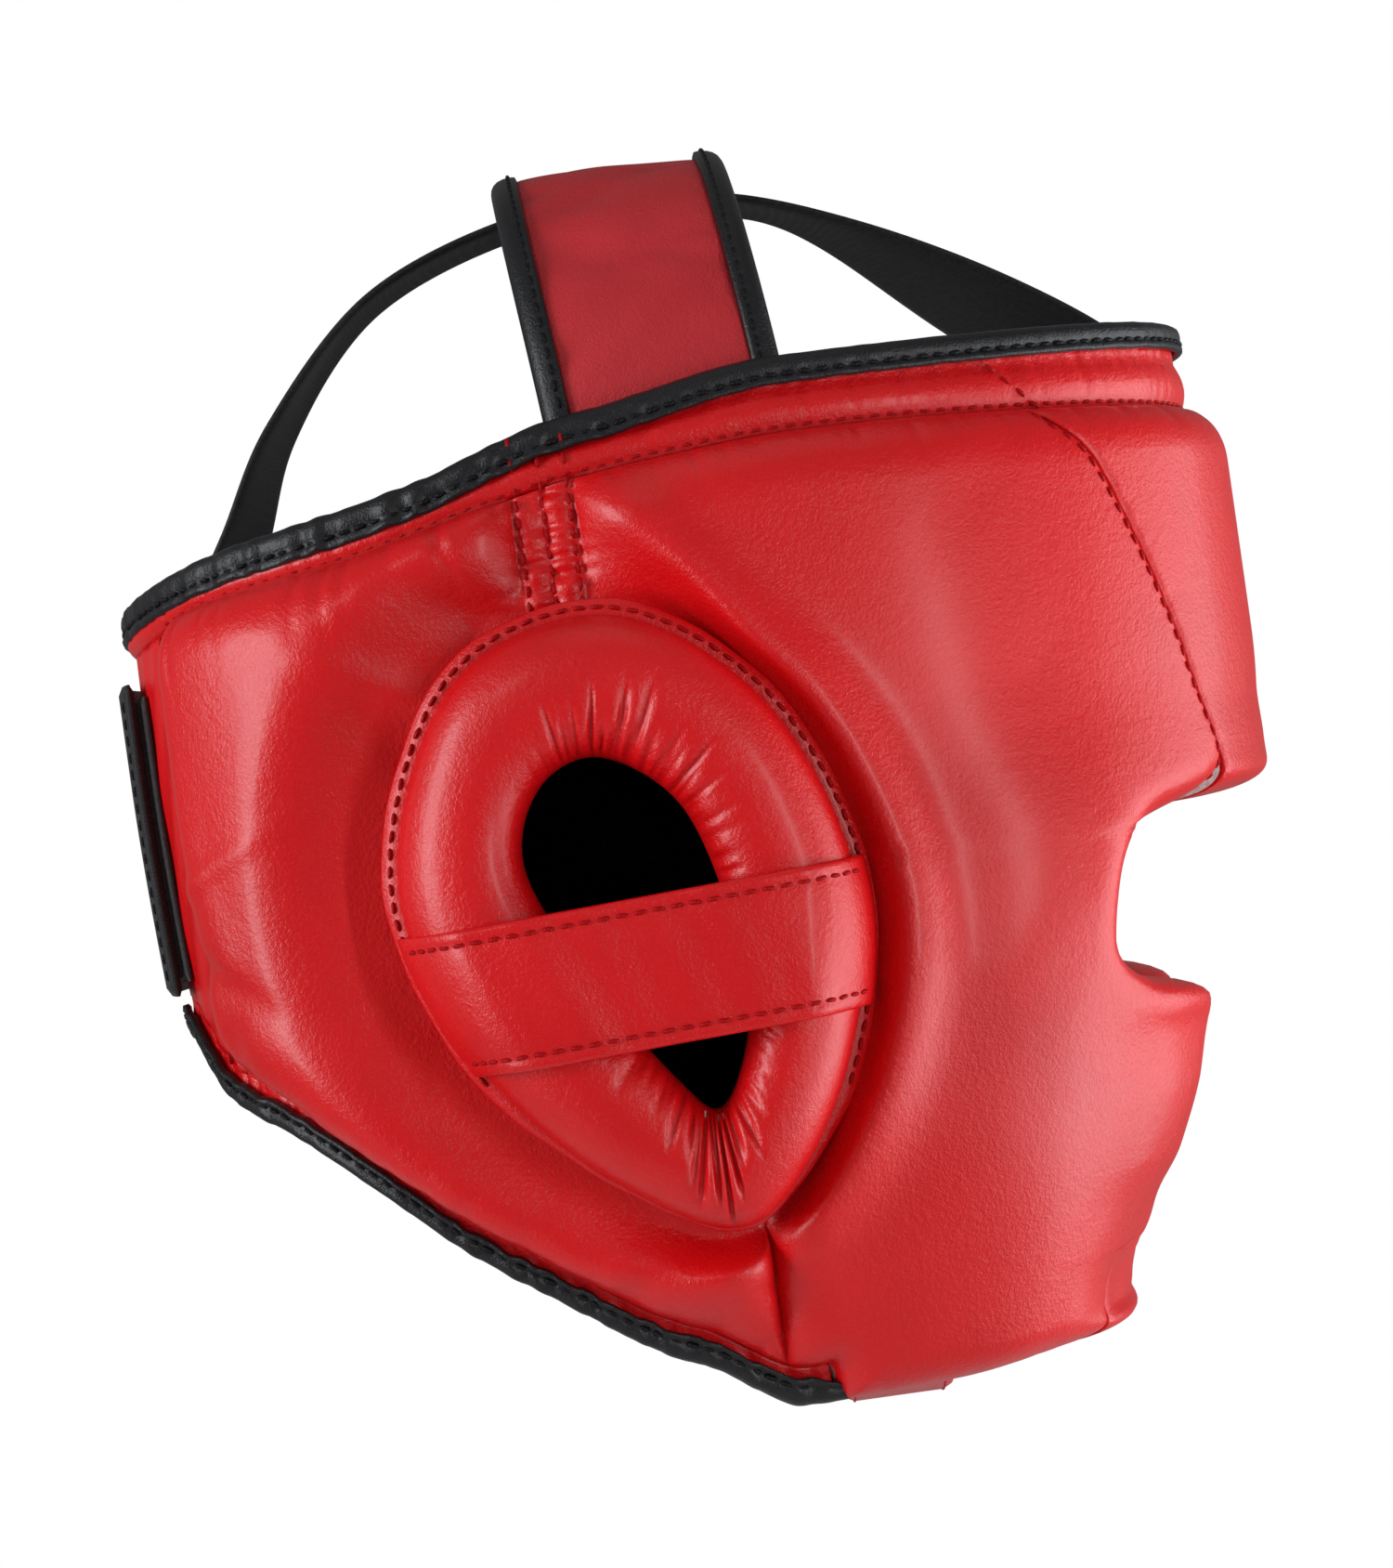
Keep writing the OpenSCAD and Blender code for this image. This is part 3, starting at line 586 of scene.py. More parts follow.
def woven(name, dark, light, pitch, rough, sheen, depth=0.2 * MM, gloss=0.3):
    """Cloth or elastic: two sets of crossing threads with a soft nap."""
    mat, shader, at, add, links = new_material(name, rough)
    waves = []
    for axis in ("X", "Z"):
        w = add("ShaderNodeTexWave", Vector=at, Scale=0.32 / (pitch * MM), Distortion=1.2, Detail=1.0)
        w.bands_direction = axis
        waves.append(w)
    nap = add("ShaderNodeTexNoise", Vector=at, Scale=900.0, Detail=4.0)
    threads = combine(add, "MAXIMUM", waves[0].outputs["Fac"], waves[1].outputs["Fac"])
    height = combine(add, "ADD", threads, nap.outputs["Fac"])
    colour = ramp(add, nap.outputs["Fac"], [(0.35, dark), (0.7, light)])
    links.new(colour, shader.inputs["Base Color"])
    roughen(add, links, shader, height, 0.5, depth)
    shader.inputs["Sheen Weight"].default_value = sheen
    shader.inputs["Sheen Roughness"].default_value = 0.6
    shader.inputs["Specular IOR Level"].default_value = gloss
    return mat


def foam_material():
    mat, shader, at, add, links = new_material("foam", 0.9)
    cells = add("ShaderNodeTexVoronoi", Vector=at, Scale=900.0)
    links.new(ramp(add, cells.outputs["Distance"], [(0.1, (0.55, 0.55, 0.52)), (0.6, (0.82, 0.81, 0.78))]),
              shader.inputs["Base Color"])
    roughen(add, links, shader, cells.outputs["Distance"], 0.6, 0.3 * MM)
    return mat


def thread_material(name, dark, light):
    mat, shader, at, add, links = new_material(name, 0.42)
    twist = add("ShaderNodeTexWave", Vector=at, Scale=900.0, Distortion=0.6)
    twist.bands_direction = "DIAGONAL"
    links.new(ramp(add, twist.outputs["Fac"], [(0.2, dark), (0.8, light)]), shader.inputs["Base Color"])
    shader.inputs["Specular IOR Level"].default_value = 0.12
    roughen(add, links, shader, twist.outputs["Fac"], 0.4, 0.1 * MM)
    return mat


RED_LEATHER = leather("red_leather", (0.70, 0.003, 0.005), (0.80, 0.004, 0.007), (0.87, 0.006, 0.010),
                      (0.27, 0.37), 1.0, 0.22)
STRAP_LEATHER = leather("strap_leather", (0.60, 0.020, 0.027), (0.68, 0.025, 0.034), (0.75, 0.030, 0.042),
                        (0.46, 0.60), 0.7, 0.04)
BLACK_LEATHER = leather("black_leather", (0.004, 0.004, 0.005), (0.007, 0.007, 0.009), (0.012, 0.012, 0.015),
                        (0.36, 0.50), 0.6, 0.1)
LINING = woven("lining", (0.006, 0.006, 0.007), (0.018, 0.018, 0.020), 0.6, 0.85, 0.15)
ELASTIC = woven("elastic", (0.008, 0.008, 0.009), (0.020, 0.020, 0.021), 0.9, 0.62, 0.08)
# Black mesh cloth made near-black with no gloss or sheen: partly its own black and partly painted shade for
# the dark depth of the ear hole.
MESH_CLOTH_PAINTED_SHADE = woven("mesh_cloth_painted_shade", (0.0004, 0.0004, 0.0004), (0.0015, 0.0015, 0.0015), 1.6, 1.0, 0.0, 0.6 * MM,
                   gloss=0.0)
HOOK_LOOP = woven("hook_loop", (0.008, 0.008, 0.009), (0.03, 0.03, 0.032), 0.5, 0.95, 0.3)
FOAM = foam_material()
# The red thread is darker than the red leather: painted shade, standing in for the shadows round the stitches.
RED_THREAD_PAINTED_SHADE = thread_material("red_thread_painted_shade", (0.34, 0.003, 0.005), (0.56, 0.006, 0.010))
BLACK_THREAD = thread_material("black_thread", (0.004, 0.004, 0.005), (0.018, 0.018, 0.02))


# ---------------------------------------------------------------- mesh building
def make(name, points, faces, material, body=SHELL, slot=None, stands_for=()):
    mesh = bpy.data.meshes.new(name)
    mesh.from_pydata((np.asarray(points).reshape(-1, 3) * MM).tolist(), [], faces)
    mesh.polygons.foreach_set("use_smooth", [True] * len(mesh.polygons))
    mesh.update()
    obj = bpy.data.objects.new(name, mesh)
    bpy.context.scene.collection.objects.link(obj)
    mesh.materials.append(material)
    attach(obj, body)
    if stands_for:
        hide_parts(*stands_for)
    return obj


def grid_faces(rows, columns, start=0, wrap_rows=False, wrap_columns=False, flip=False):
    """Quads over a grid of points kept row by row."""
    faces = []
    for j in range(rows if wrap_rows else rows - 1):
        for i in range(columns if wrap_columns else columns - 1):
            low = start + j * columns
            high = start + (j + 1) % rows * columns
            beside = (i + 1) % columns
            quad = (low + i, low + beside, high + beside, high + i)
            faces.append(quad[::-1] if flip else quad)
    return faces


def slab_faces(rows, columns):
    """A closed solid from two grids of points, the outer one first."""
    n = rows * columns
    faces = grid_faces(rows, columns, 0, flip=True) + grid_faces(rows, columns, n)
    for i in range(columns - 1):
        low, high = i, (rows - 1) * columns + i
        faces.append((low, low + 1, low + 1 + n, low + n))
        faces.append((high + 1, high, high + n, high + 1 + n))
    for j in range(rows - 1):
        near, far = j * columns, j * columns + columns - 1
        faces.append((near + columns, near, near + n, near + columns + n))
        faces.append((far, far + columns, far + columns + n, far + n))
    return faces


def mirrored(points, faces):
    return np.asarray(points).reshape(-1, 3) * [-1, 1, 1], [f[::-1] for f in faces]


def on_both_sides(stem, points, faces, material, slot, nodes=()):
    """The same piece on the wearer's right and, mirrored, on the left."""
    right = make("right_" + stem, points, faces, material, slot=slot,
                 stands_for=["right_" + n for n in nodes])
    left = make("left_" + stem, *mirrored(points, faces), material, slot=slot,
                stands_for=["left_" + n for n in nodes])
    return right, left


def stand_in(node, points, faces, material, slot, both=False):
    """The piece that replaces one CAD node, or one on each side."""
    name = node + "_piece"
    if both:
        return on_both_sides(name, points, faces, material, slot, [node])
    return [make(name, points, faces, material, slot=slot, stands_for=[node])]


def shell_slab(t, z, out, inner):
    """A closed solid on the shell between two distances out from it."""
    points = np.concatenate([shell(t, z, out).reshape(-1, 3), shell(t, z, inner).reshape(-1, 3)])
    return points, slab_faces(*z.shape)


def spaced(n):
    """Shares from 0 to 1 that crowd towards both ends."""
    k = np.linspace(0, 1, n)
    return mix(k, (1 - np.cos(np.pi * k)) / 2, 0.75)


def padded_panel(stem, pad, place, columns, rows, both):
    """Cover, foam and lining of one padded panel."""
    v, u = np.meshgrid(spaced(rows), spaced(columns), indexing="ij")
    t, z = place(u, v)
    out, inner = pad.faces(t, z)
    layers = (
        ("cover", out, out - SKIN, RED_LEATHER, "red_leather"),
        ("foam", out - SKIN, inner + SKIN, FOAM, "foam"),
        ("lining", inner + SKIN, inner, LINING, "black_lining"),
    )
    for kind, far, near, material, slot in layers:
        made = stand_in(f"{stem}_{kind}", *shell_slab(t, z, far, near), material, slot, both)


def sweep(rings, closed=False):
    """Points and faces of a section carried along stations, capped at its ends unless closed."""
    rings = np.asarray(rings)
    m, n = rings.shape[:2]
    faces = grid_faces(m, n, 0, wrap_rows=closed, wrap_columns=True)
    if not closed:
        faces.append(tuple(range(n))[::-1])
        faces.append(tuple(range((m - 1) * n, m * n)))
    return rings.reshape(-1, 3), faces


# ---------------------------------------------------------------- stitches
# A stitch's rings: share of its length, share of its radius, and rise in radii
STITCH_RINGS = [(-0.5, 0.35, -0.55), (-0.36, 0.9, -0.12), (0.0, 1.0, 0.18), (0.36, 0.9, -0.12),
                (0.5, 0.35, -0.55)]
STITCH_SIDES = 6
STITCH_LIFT = 0.2        # how far a stitch's middle lies above the surface, in radii
STITCH_SLANT = 0.06


def stitch_row(name, path, out, material, body=SHELL, both=False, slot="red_leather", radius=STITCH_RADIUS):
    """A row of thread stitches along a path, lying in the surface whose outward directions are given."""
    path, out = np.asarray(path, float), np.asarray(out, float)
    gaps = np.linalg.norm(np.diff(path, axis=0), axis=1)
    at = np.concatenate([[0], np.cumsum(gaps)])
    n = max(2, int(at[-1] / STITCH_PITCH))
    middles = (np.arange(n) + 0.5) * at[-1] / n

    def sample(s, values):
        return np.array([np.interp(s, at, values[:, k]) for k in range(3)])

    def ring(centre, ahead, up, side, share, fat, rise):
        middle = centre + ahead * STITCH_LENGTH * share
        turns = np.arange(STITCH_SIDES) * 2 * math.pi / STITCH_SIDES
        return [middle + up * (radius * (rise + fat * math.sin(w)) + radius * STITCH_LIFT)
                + side * radius * fat * math.cos(w) for w in turns]

    points, faces = [], []
    for i, s in enumerate(middles):
        centre = sample(s, path)
        ahead = sample(s + 0.5, path) - sample(s - 0.5, path)
        ahead /= np.linalg.norm(ahead) + 1e-9
        up = sample(s, out)
        up -= ahead * (up @ ahead)
        up /= np.linalg.norm(up) + 1e-9
        side = np.cross(ahead, up)
        ahead = ahead + STITCH_SLANT * (1 if i % 2 else -1) * side
        p, q = sweep([ring(centre, ahead, up, side, *shape) for shape in STITCH_RINGS])
        start = i * len(p)
        points.append(p)
        faces += [tuple(k + start for k in face) for face in q]
    points = np.concatenate(points)
    if both:
        return on_both_sides(name, points, faces, material, slot)
    return make(name, points, faces, material, body, slot)


def shell_row(name, t, z, off, material, both=True, **more):
    """Stitches at angles and heights on the shell, at a distance out from it."""
    path = shell(t, z, off)
    return stitch_row(name, path, shell(t, z, off + 1) - path, material, both=both, **more)


# ---------------------------------------------------------------- panels
padded_panel("cheek", cheek_pad, cheek_place, 150, 190, True)
padded_panel("rear", rear_pad, rear_place, 120, 150, True)
padded_panel("forehead", brow_pad, brow_place, 130, 90, False)
padded_panel("chin", chin_pad, chin_place, 90, 36, False)


BAND_SHORT = 2           # how far a band's edge stops short of the rim that its binding folds over
PUFF_SHARE = 0.62        # the share of a band's height that puffs out, from its lower edge
ARC_PER_DEGREE = 1.7     # about how many millimetres one degree is along the shell


def band_piece(node, t, low, high, bulge, both, rows):
    """A flat sewn strip on the shell that puffs a little between its two edges."""
    marks = creases(41, 310, 5, 0.7, 10)
    v = np.linspace(0, 1, rows)[:, None]
    tt = np.broadcast_to(t, (rows, len(t)))
    z = mix(low(np.abs(t)), high(np.abs(t)), v)
    along = np.abs(t) * ARC_PER_DEGREE
    sunk = np.stack([pulled(marks, along, np.full(len(t), 12.0 * (1 - k))) for k in v[:, 0]])
    puff = bulge * np.sin(np.pi * np.clip(v / PUFF_SHARE, 0, 1)) - sunk
    stand_in(node, *shell_slab(tt, z, BAND_HALF + puff, -BAND_HALF), RED_LEATHER, "red_leather", both)


band_piece("top_band", np.linspace(-180, 180, 720), lambda t: band_low(t) - 0.3, lambda t: rim(t) - BAND_SHORT,
           1.6, False, 14)
band_piece("lower_band", np.linspace(HEM_START, CLOSURE_EDGE, 240), lambda t: low_rim(t) + BAND_SHORT,
           lambda t: low_rim(t) + HEM + HEM_GAP, 0.3, True, 8)


def rear_flap():
    """The unpadded strip behind a rear pad: a welt beside the seam, and a slow wave."""
    t = np.linspace(REAR_SEAM, CLOSURE_EDGE, 40)
    v = np.linspace(0, 1, 60)[:, None]
    z = mix(foot(t), head(t), v)
    tt = np.broadcast_to(t, z.shape)
    welt = 1.1 * np.exp(-(((tt - REAR_SEAM - 1.6) / 1.2) ** 2))
    wave = 0.5 * np.sin(z * 0.21 + tt) * smooth((tt - REAR_SEAM) / 6)
    slab = shell_slab(tt, z, BAND_HALF + welt + 0.4 * wave, -BAND_HALF + 0.3 * wave)
    stand_in("rear_flap", *slab, RED_LEATHER, "red_leather", True)


rear_flap()


# ---------------------------------------------------------------- bindings
FOLD_HALF = 1.7          # half the gap between a binding's two legs
STITCH_LEVEL = 0.67      # where the stitches run, as a share of a binding's height


def binding_profile():
    """Leather folded over an edge, as (out, up) points. up is a share of the binding's height."""
    crest = [(BINDING_HALF * math.cos(a), -0.3 + 0.3 * math.sin(a)) for a in np.linspace(0, math.pi, 9)]
    outside = [(BINDING_HALF + 0.1, -0.96), (BINDING_HALF + 0.25, -0.86), (BINDING_HALF - 0.15, -0.74),
               (BINDING_HALF - 0.45, -STITCH_LEVEL), (BINDING_HALF - 0.1, -0.58), (BINDING_HALF + 0.1, -0.45)]
    inside = [(-out, up) for out, up in outside[::-1]]
    leg = [(FOLD_HALF, -0.3), (FOLD_HALF, -0.9), (FOLD_HALF + 0.5, -1.0)]
    other_leg = [(-out, up) for out, up in leg[::-1]]
    return np.array(outside + crest + inside + other_leg + leg)


def top_height(t):
    """The top binding is narrower over the brow than behind the ears."""
    return mix(6.3, BINDING_HEIGHT, smooth((np.abs(t) - 70) / 40))


def low_height(t):
    return mix(4.0, BINDING_HEIGHT - 1.4, smooth((t - HEM_START + 3) / 7))


def binding(node, t, edge, height, gathered, way, seed, both, closed):
    """Leather folded over a rim, ribbed where it was gathered, with a sunk line for its stitches."""
    rng = np.random.default_rng(seed)
    section = binding_profile()
    n = len(t)
    path = shell(t, edge(np.abs(t)))
    along = np.concatenate([[0], np.cumsum(np.linalg.norm(np.diff(path, axis=0), axis=1))])
    ribs = np.zeros(n)
    for length, size in ((5.3, 0.22), (8.7, 0.40), (15.1, 0.34)):
        swing = 2.2 * np.sin(along / 19 + rng.uniform(0, 6))
        ribs += size * np.sin(along * 2 * np.pi / length + rng.uniform(0, 6) + swing)
    ribs = np.maximum(ribs, -0.35)
    strength = 0.12 + 0.88 * gathered(np.abs(t))
    rings = np.empty((n, len(section), 3))
    for k, (off, up) in enumerate(section):
        skin_side = math.copysign(1, off) if abs(off) > 1.9 or up > -0.3 else 0.0
        loose = 0.45 + 0.55 * smooth(-up * 1.6) if up > -0.66 else 1.0
        wobble = skin_side * ribs * strength * loose
        free = 0.55 if up < -0.8 else 0.25 if up > -0.2 else 0.0
        hang = free * ribs * strength
        rings[:, k] = shell(t, edge(np.abs(t)) + way * (up * height(t) + hang), off + wobble)
    points, faces = sweep(rings, closed)
    if way > 0:
        faces = [f[::-1] for f in faces]
    stand_in(node, points, faces, BLACK_LEATHER, "black_binding", both)


top_gathers = curve([(0, 0.1), (75, 0.15), (100, 0.9), (130, 0.8), (150, 0.35), (180, 0.3)])
low_gathers = curve([(70, 0.3), (80, 1), (108, 0.9), (122, 0.15), (145, 0.5), (160, 0.2), (180, 0.2)])
binding("top_binding", np.linspace(-180, 180, 1400, endpoint=False), rim, top_height, top_gathers, 1, 51,
        False, True)
binding("lower_binding", np.linspace(HEM_START - 2.5, CLOSURE_EDGE, 520), low_rim, low_height, low_gathers,
        -1, 52, True, False)
ring_t = np.linspace(-180, 180, 721)
shell_row("top_binding_stitches", ring_t, rim(np.abs(ring_t)) - STITCH_LEVEL * top_height(ring_t),
          BINDING_HALF - 0.25, BLACK_THREAD, False, slot="black_binding")
low_t = np.linspace(HEM_START + 3, CLOSURE_EDGE - 1, 240)
shell_row("lower_binding_stitches", low_t, low_rim(low_t) + STITCH_LEVEL * low_height(low_t),
          BINDING_HALF - 0.25, BLACK_THREAD, slot="black_binding")


# ---------------------------------------------------------------- seams of the shell
def pad_row(name, pad, t, z, lift=0.0):
    """Stitches that lie on the outer face of a pad."""
    out, _ = pad.faces(t, z)
    shell_row(name, t, z, out + lift, RED_THREAD_PAINTED_SHADE)


pad_row("brow_seam_stitches", cheek_pad, front_edge(z_brow) + 0.8, z_brow)
band_t = np.linspace(-150, 150, 600)
shell_row("band_stitches", band_t, band_low(np.abs(band_t)) + 0.8, BAND_HALF + 0.35, RED_THREAD_PAINTED_SHADE, False)
seam_z = np.linspace(SEAM_TOP + 4, 95, 20)
SEAM_ROWS = (("middle", 0.0), ("front", -5.5), ("rear", 5.5))    # beside the seam over the ear, in mm
for label, shift in SEAM_ROWS:
    pad = cheek_pad if shift <= 0 else rear_pad
    pad_row(f"side_seam_{label}_stitches", pad, angle_at(SIDE_SEAM_Y + shift, seam_z), seam_z, lift=0.2)
band_seam_z = np.linspace(96, 105, 12)
for label, shift in SEAM_ROWS:
    shell_row(f"band_seam_{label}_stitches", angle_at(SIDE_SEAM_Y + shift, band_seam_z), band_seam_z,
              BAND_HALF + 1.5, RED_THREAD_PAINTED_SHADE)
slant_t = np.linspace(47, 54, 20)
slant_z = np.linspace(95.5, 107, 20)
shell_row("band_slant_stitches", slant_t, slant_z, BAND_HALF + 1.4, RED_THREAD_PAINTED_SHADE)
flap_z = np.linspace(foot(REAR_SEAM) + 2, band_low(REAR_SEAM) - 2, 40)
for label, shift in (("inner", 1.0), ("outer", 4.4)):
    t = np.full(40, REAR_SEAM + shift)
    shell_row(f"rear_seam_{label}_stitches", t, flap_z, BAND_HALF + 0.6, RED_THREAD_PAINTED_SHADE)


# ---------------------------------------------------------------- ears
def ear_lift(y, z):
    return side_x(y, z) - EAR_BASE


def ring_height(k):
    return np.clip(np.sin(np.pi * k), 0, None) ** 0.6


# Where round the ring the leather is gathered, how widely, and how deeply
GATHER_SPOTS = [(0.47, 0.06, 1.5), (0.58, 0.06, 0.6), (0.24, 0.08, 0.85), (0.08, 0.07, 0.7),
                (0.98, 0.07, 0.8), (0.36, 0.08, 0.35)]
GATHER_COUNT = 96


def gathers(a, k):
    """Creases that run out from the ear hole, deepest where the leather is gathered."""
    rng = np.random.default_rng(61)
    at = (np.arange(GATHER_COUNT) + rng.uniform(0.1, 0.9, GATHER_COUNT)) / GATHER_COUNT
    sunk = np.zeros_like(k)
    for i in range(GATHER_COUNT):
        near = sum(s * math.exp(-((((at[i] - c + 0.5) % 1 - 0.5) / w) ** 2)) for c, w, s in GATHER_SPOTS)
        deep = (0.28 + 1.6 * near) * rng.uniform(0.35, 1.0)
        wide = rng.uniform(0.0022, 0.0052)
        start = 0.92 - (0.16 + 0.34 * near) * rng.uniform(0.6, 1.25)
        bend = rng.uniform(-0.012, 0.012)
        gap = (a - at[i] - bend * (1 - k) + 0.5) % 1 - 0.5
        sunk += deep * np.exp(-((gap / wide) ** 2)) * smooth((k - start) / 0.22)
    return sunk


def ring_points(a, k, inset=0.0, creased=True):
    """Points of the ear ring's skin, a of the way round and k across it from its outer edge to the hole."""
    share = (1 - np.cos(np.pi * k)) / 2
    p = mix(spline(EAR_OUTLINE, a, True), spline(EAR_HOLE, a, True), share[..., None])
    lift = (RING_DEPTH - inset) * ring_height(k)
    if creased:
        lift = lift - gathers(a, k) * np.clip(ring_height(k) * 1.6, 0, 1)
    return np.stack([ear_lift(p[..., 0], p[..., 1]) - FLANGE_THICK - lift, p[..., 0], p[..., 1]], -1)


def ear_ring():
    """The gathered leather cover of the ear ring, and the foam in it."""
    a, k = np.meshgrid(np.linspace(0, 1, 420, endpoint=False), np.linspace(0, 1, 46), indexing="ij")
    outer = ring_points(a, k)
    inner = ring_points(a, 0.05 + 0.90 * k, SKIN)[:, ::-1]
    cover = sweep(np.concatenate([outer, inner], axis=1), True)
    for piece in stand_in("ear_ring_cover", *cover, RED_LEATHER, "red_leather", True):
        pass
    a, k = np.meshgrid(np.linspace(0, 1, 120, endpoint=False), np.linspace(0.12, 0.88, 16), indexing="ij")
    outer = ring_points(a, k, SKIN + 1.8, False)
    back = outer.copy()
    back[..., 0] = ear_lift(back[..., 1], back[..., 2]) - FLANGE_THICK - 0.3
    foam = sweep(np.concatenate([outer, back[:, ::-1]], axis=1), True)
    stand_in("ear_ring_foam", *foam, FOAM, "foam", True)


def ear_edge(a, grow):
    """Points round the ring's outer edge, moved outward by grow."""
    p, q = spline(EAR_OUTLINE, a, True), spline(EAR_HOLE, a, True)
    away = p - q
    return p + np.asarray(grow)[..., None] * away / np.linalg.norm(away, axis=-1, keepdims=True)


def ear_flange():
    """The raw leather edge that the ring is sewn to, a little wavy."""
    a = np.linspace(0, 1, 260, endpoint=False)
    wave = 0.5 * np.sin(a * 2 * np.pi * 9 + 1) + 0.35 * np.sin(a * 2 * np.pi * 21)
    tucked = 1 - 0.72 * np.exp(-(((a - 0.5) / 0.14) ** 4))
    rows = []
    for grow, off in ((3.2, 0.0), (3.6, 0.9), (3.3, 1.9), (0.5, 2.1), (-6.0, 2.0), (-6.0, 0.0)):
        free = grow > 1
        p = ear_edge(a, grow * tucked + 0.25 * wave if free else grow + 0 * a)
        x = ear_lift(p[:, 0], p[:, 1]) - off - (0.25 * wave if free else 0)
        rows.append(np.stack([x, p[:, 0], p[:, 1]], -1))
    points, faces = sweep(np.stack(rows, 1), True)
    stand_in("ear_flange", points, [f[::-1] for f in faces], RED_LEATHER, "red_leather", True)
    a = np.linspace(0.66, 1.34, 200)
    p = ear_edge(a % 1, 1.7)
    path = np.stack([ear_lift(p[:, 0], p[:, 1]) - 2.1, p[:, 0], p[:, 1]], -1)
    stitch_row("ear_flange_stitches", path, np.tile([-1.0, 0, 0], (len(a), 1)), RED_THREAD_PAINTED_SHADE, both=True)


def ear_backing():
    """The black cloth behind the ear hole, dished a little. Its matte, near-black colour is also painted shade
    for the depth of the hole.
    """
    edge = spline(EAR_HOLE, np.linspace(0, 1, 72, endpoint=False), True)
    middle = edge.mean(axis=0)
    front = []
    for r in np.linspace(0.02, 1.12, 10):
        p = middle + (edge - middle) * r
        x = ear_lift(0.0, 0.0) + 0.4 + 1.4 * (1 - min(r, 1) ** 2)
        front.append(np.stack([np.full(len(p), x), p[:, 0], p[:, 1]], -1))
    front = np.stack(front, 0)
    back = front + [0.8, 0, 0]
    points, faces = sweep(np.concatenate([front, back[::-1]], axis=0), False)
    stand_in("ear_mesh", points, faces, MESH_CLOTH_PAINTED_SHADE, "black_mesh", True)


def strap_span(origin, unit):
    """Where a line across the ear enters and leaves the flange's outline, as distances along the line."""
    loop = ear_edge(np.linspace(0, 1, 400, endpoint=False), 2.6) - origin
    along, away = loop @ unit, loop @ np.array([-unit[1], unit[0]])
    cuts = [along[i] for i in range(len(away)) if away[i] * away[(i + 1) % len(away)] <= 0]
    return min(cuts), max(cuts)


STRAP_STITCH = 0.80      # where the strap's stitches run, as a share of its half width


def ear_strap():
    """The strap over the ring. Its ends follow the ring's outline; its long edges are folded under."""
    rear, front = np.array([45.0, -12.0]), np.array([-45.0, -8.0])
    unit = (front - rear) / np.linalg.norm(front - rear)
    up = np.array([unit[1], -unit[0]])
    steps, half = 140, EAR_STRAP_WIDTH / 2
    share = spaced(steps)
    # Half the section: share of the half width and height, from the fold to the middle
    half_section = [(1.0, 0.4), (0.995, 1.5), (0.965, 2.1), (0.92, 2.3), (0.86, 2.15), (STRAP_STITCH, 1.85),
                    (0.75, 2.05), (0.6, 2.3), (0.3, 2.5)]
    under = [(0.6, 0.2), (0.0, 0.2), (-0.6, 0.2)]
    section = [(-across, up) for across, up in half_section] + [(0.0, 2.55)] + half_section[::-1] + under

    def line(across):
        """Points along the strap at a share of its half width, and how far the ring lifts them."""
        origin = rear + up * across * half
        start, end = strap_span(origin, unit)
        k = mix(start, end, share)
        q = origin + k[:, None] * unit
        reach = np.minimum(k - start, end - k)
        lift = (RING_DEPTH + 0.6) * np.sin(np.pi / 2 * np.clip(reach / 15, 0, 1)) ** 0.62
        sag = 1.4 * np.sin(np.pi * np.clip((share - 0.22) / 0.56, 0, 1)) ** 2
        ripple = 0.3 * np.sin(share * 37 + 2 * across) * np.sin(share * 11 + 1)
        return q, ear_lift(q[:, 0], q[:, 1]) - FLANGE_THICK - 0.5 - lift + sag - ripple

    rings = np.empty((steps, len(section), 3))
    for i, (across, off) in enumerate(section):
        q, base = line(across)
        rings[:, i] = np.stack([base - off, q[:, 0], q[:, 1]], -1)
    points, faces = sweep(rings)
    stand_in("ear_strap", points, faces, RED_LEATHER, "red_leather", True)
    keep = (share > 0.02) & (share < 0.98)
    for label, across in (("upper", STRAP_STITCH), ("lower", -STRAP_STITCH)):
        q, base = line(across)
        path = np.stack([base - 1.95, q[:, 0], q[:, 1]], -1)[keep]
        out = np.cross(np.gradient(path, axis=0), np.append(0, up))
        out *= np.sign(-out[:, :1])
        stitch_row(f"ear_strap_{label}_stitches", path, out, RED_THREAD_PAINTED_SHADE, both=True)


ear_ring()
ear_flange()
ear_backing()
ear_strap()


# ---------------------------------------------------------------- crown strap
CROWN_LOW, CROWN_HIGH = node_box("crown_strap_cover")
CROWN_FOOT = CROWN_LOW[2]
CROWN_TOP = CROWN_HIGH[2]
CROWN_HALF_SPAN = CROWN_HIGH[0]
CROWN_HALF_WIDTH = 21.0
CROWN_MIDDLE = CROWN_LOW[1] + CROWN_HALF_WIDTH       # the strap's centre at its foot
CROWN_LEAN = CROWN_HIGH[1] - CROWN_LOW[1] - 2 * CROWN_HALF_WIDTH
CROWN_STACK = 5.6                        # how deep the layers reach below the strap's outer face
CROWN_WRINKLES = 26


def crown_points(a, depth, across):
    """Points of the crown strap: a in degrees over the head, depth in from its outer face."""
    s, c = power(np.sin(np.radians(a)), 0.9), power(np.cos(np.radians(a)), 0.9)
    x = -(CROWN_HALF_SPAN - depth) * c
    y = CROWN_MIDDLE + CROWN_LEAN * np.sin(np.radians(a)) + across
    z = CROWN_FOOT + (CROWN_TOP - CROWN_FOOT - depth) * s
    return np.stack(np.broadcast_arrays(x, y, z), -1)


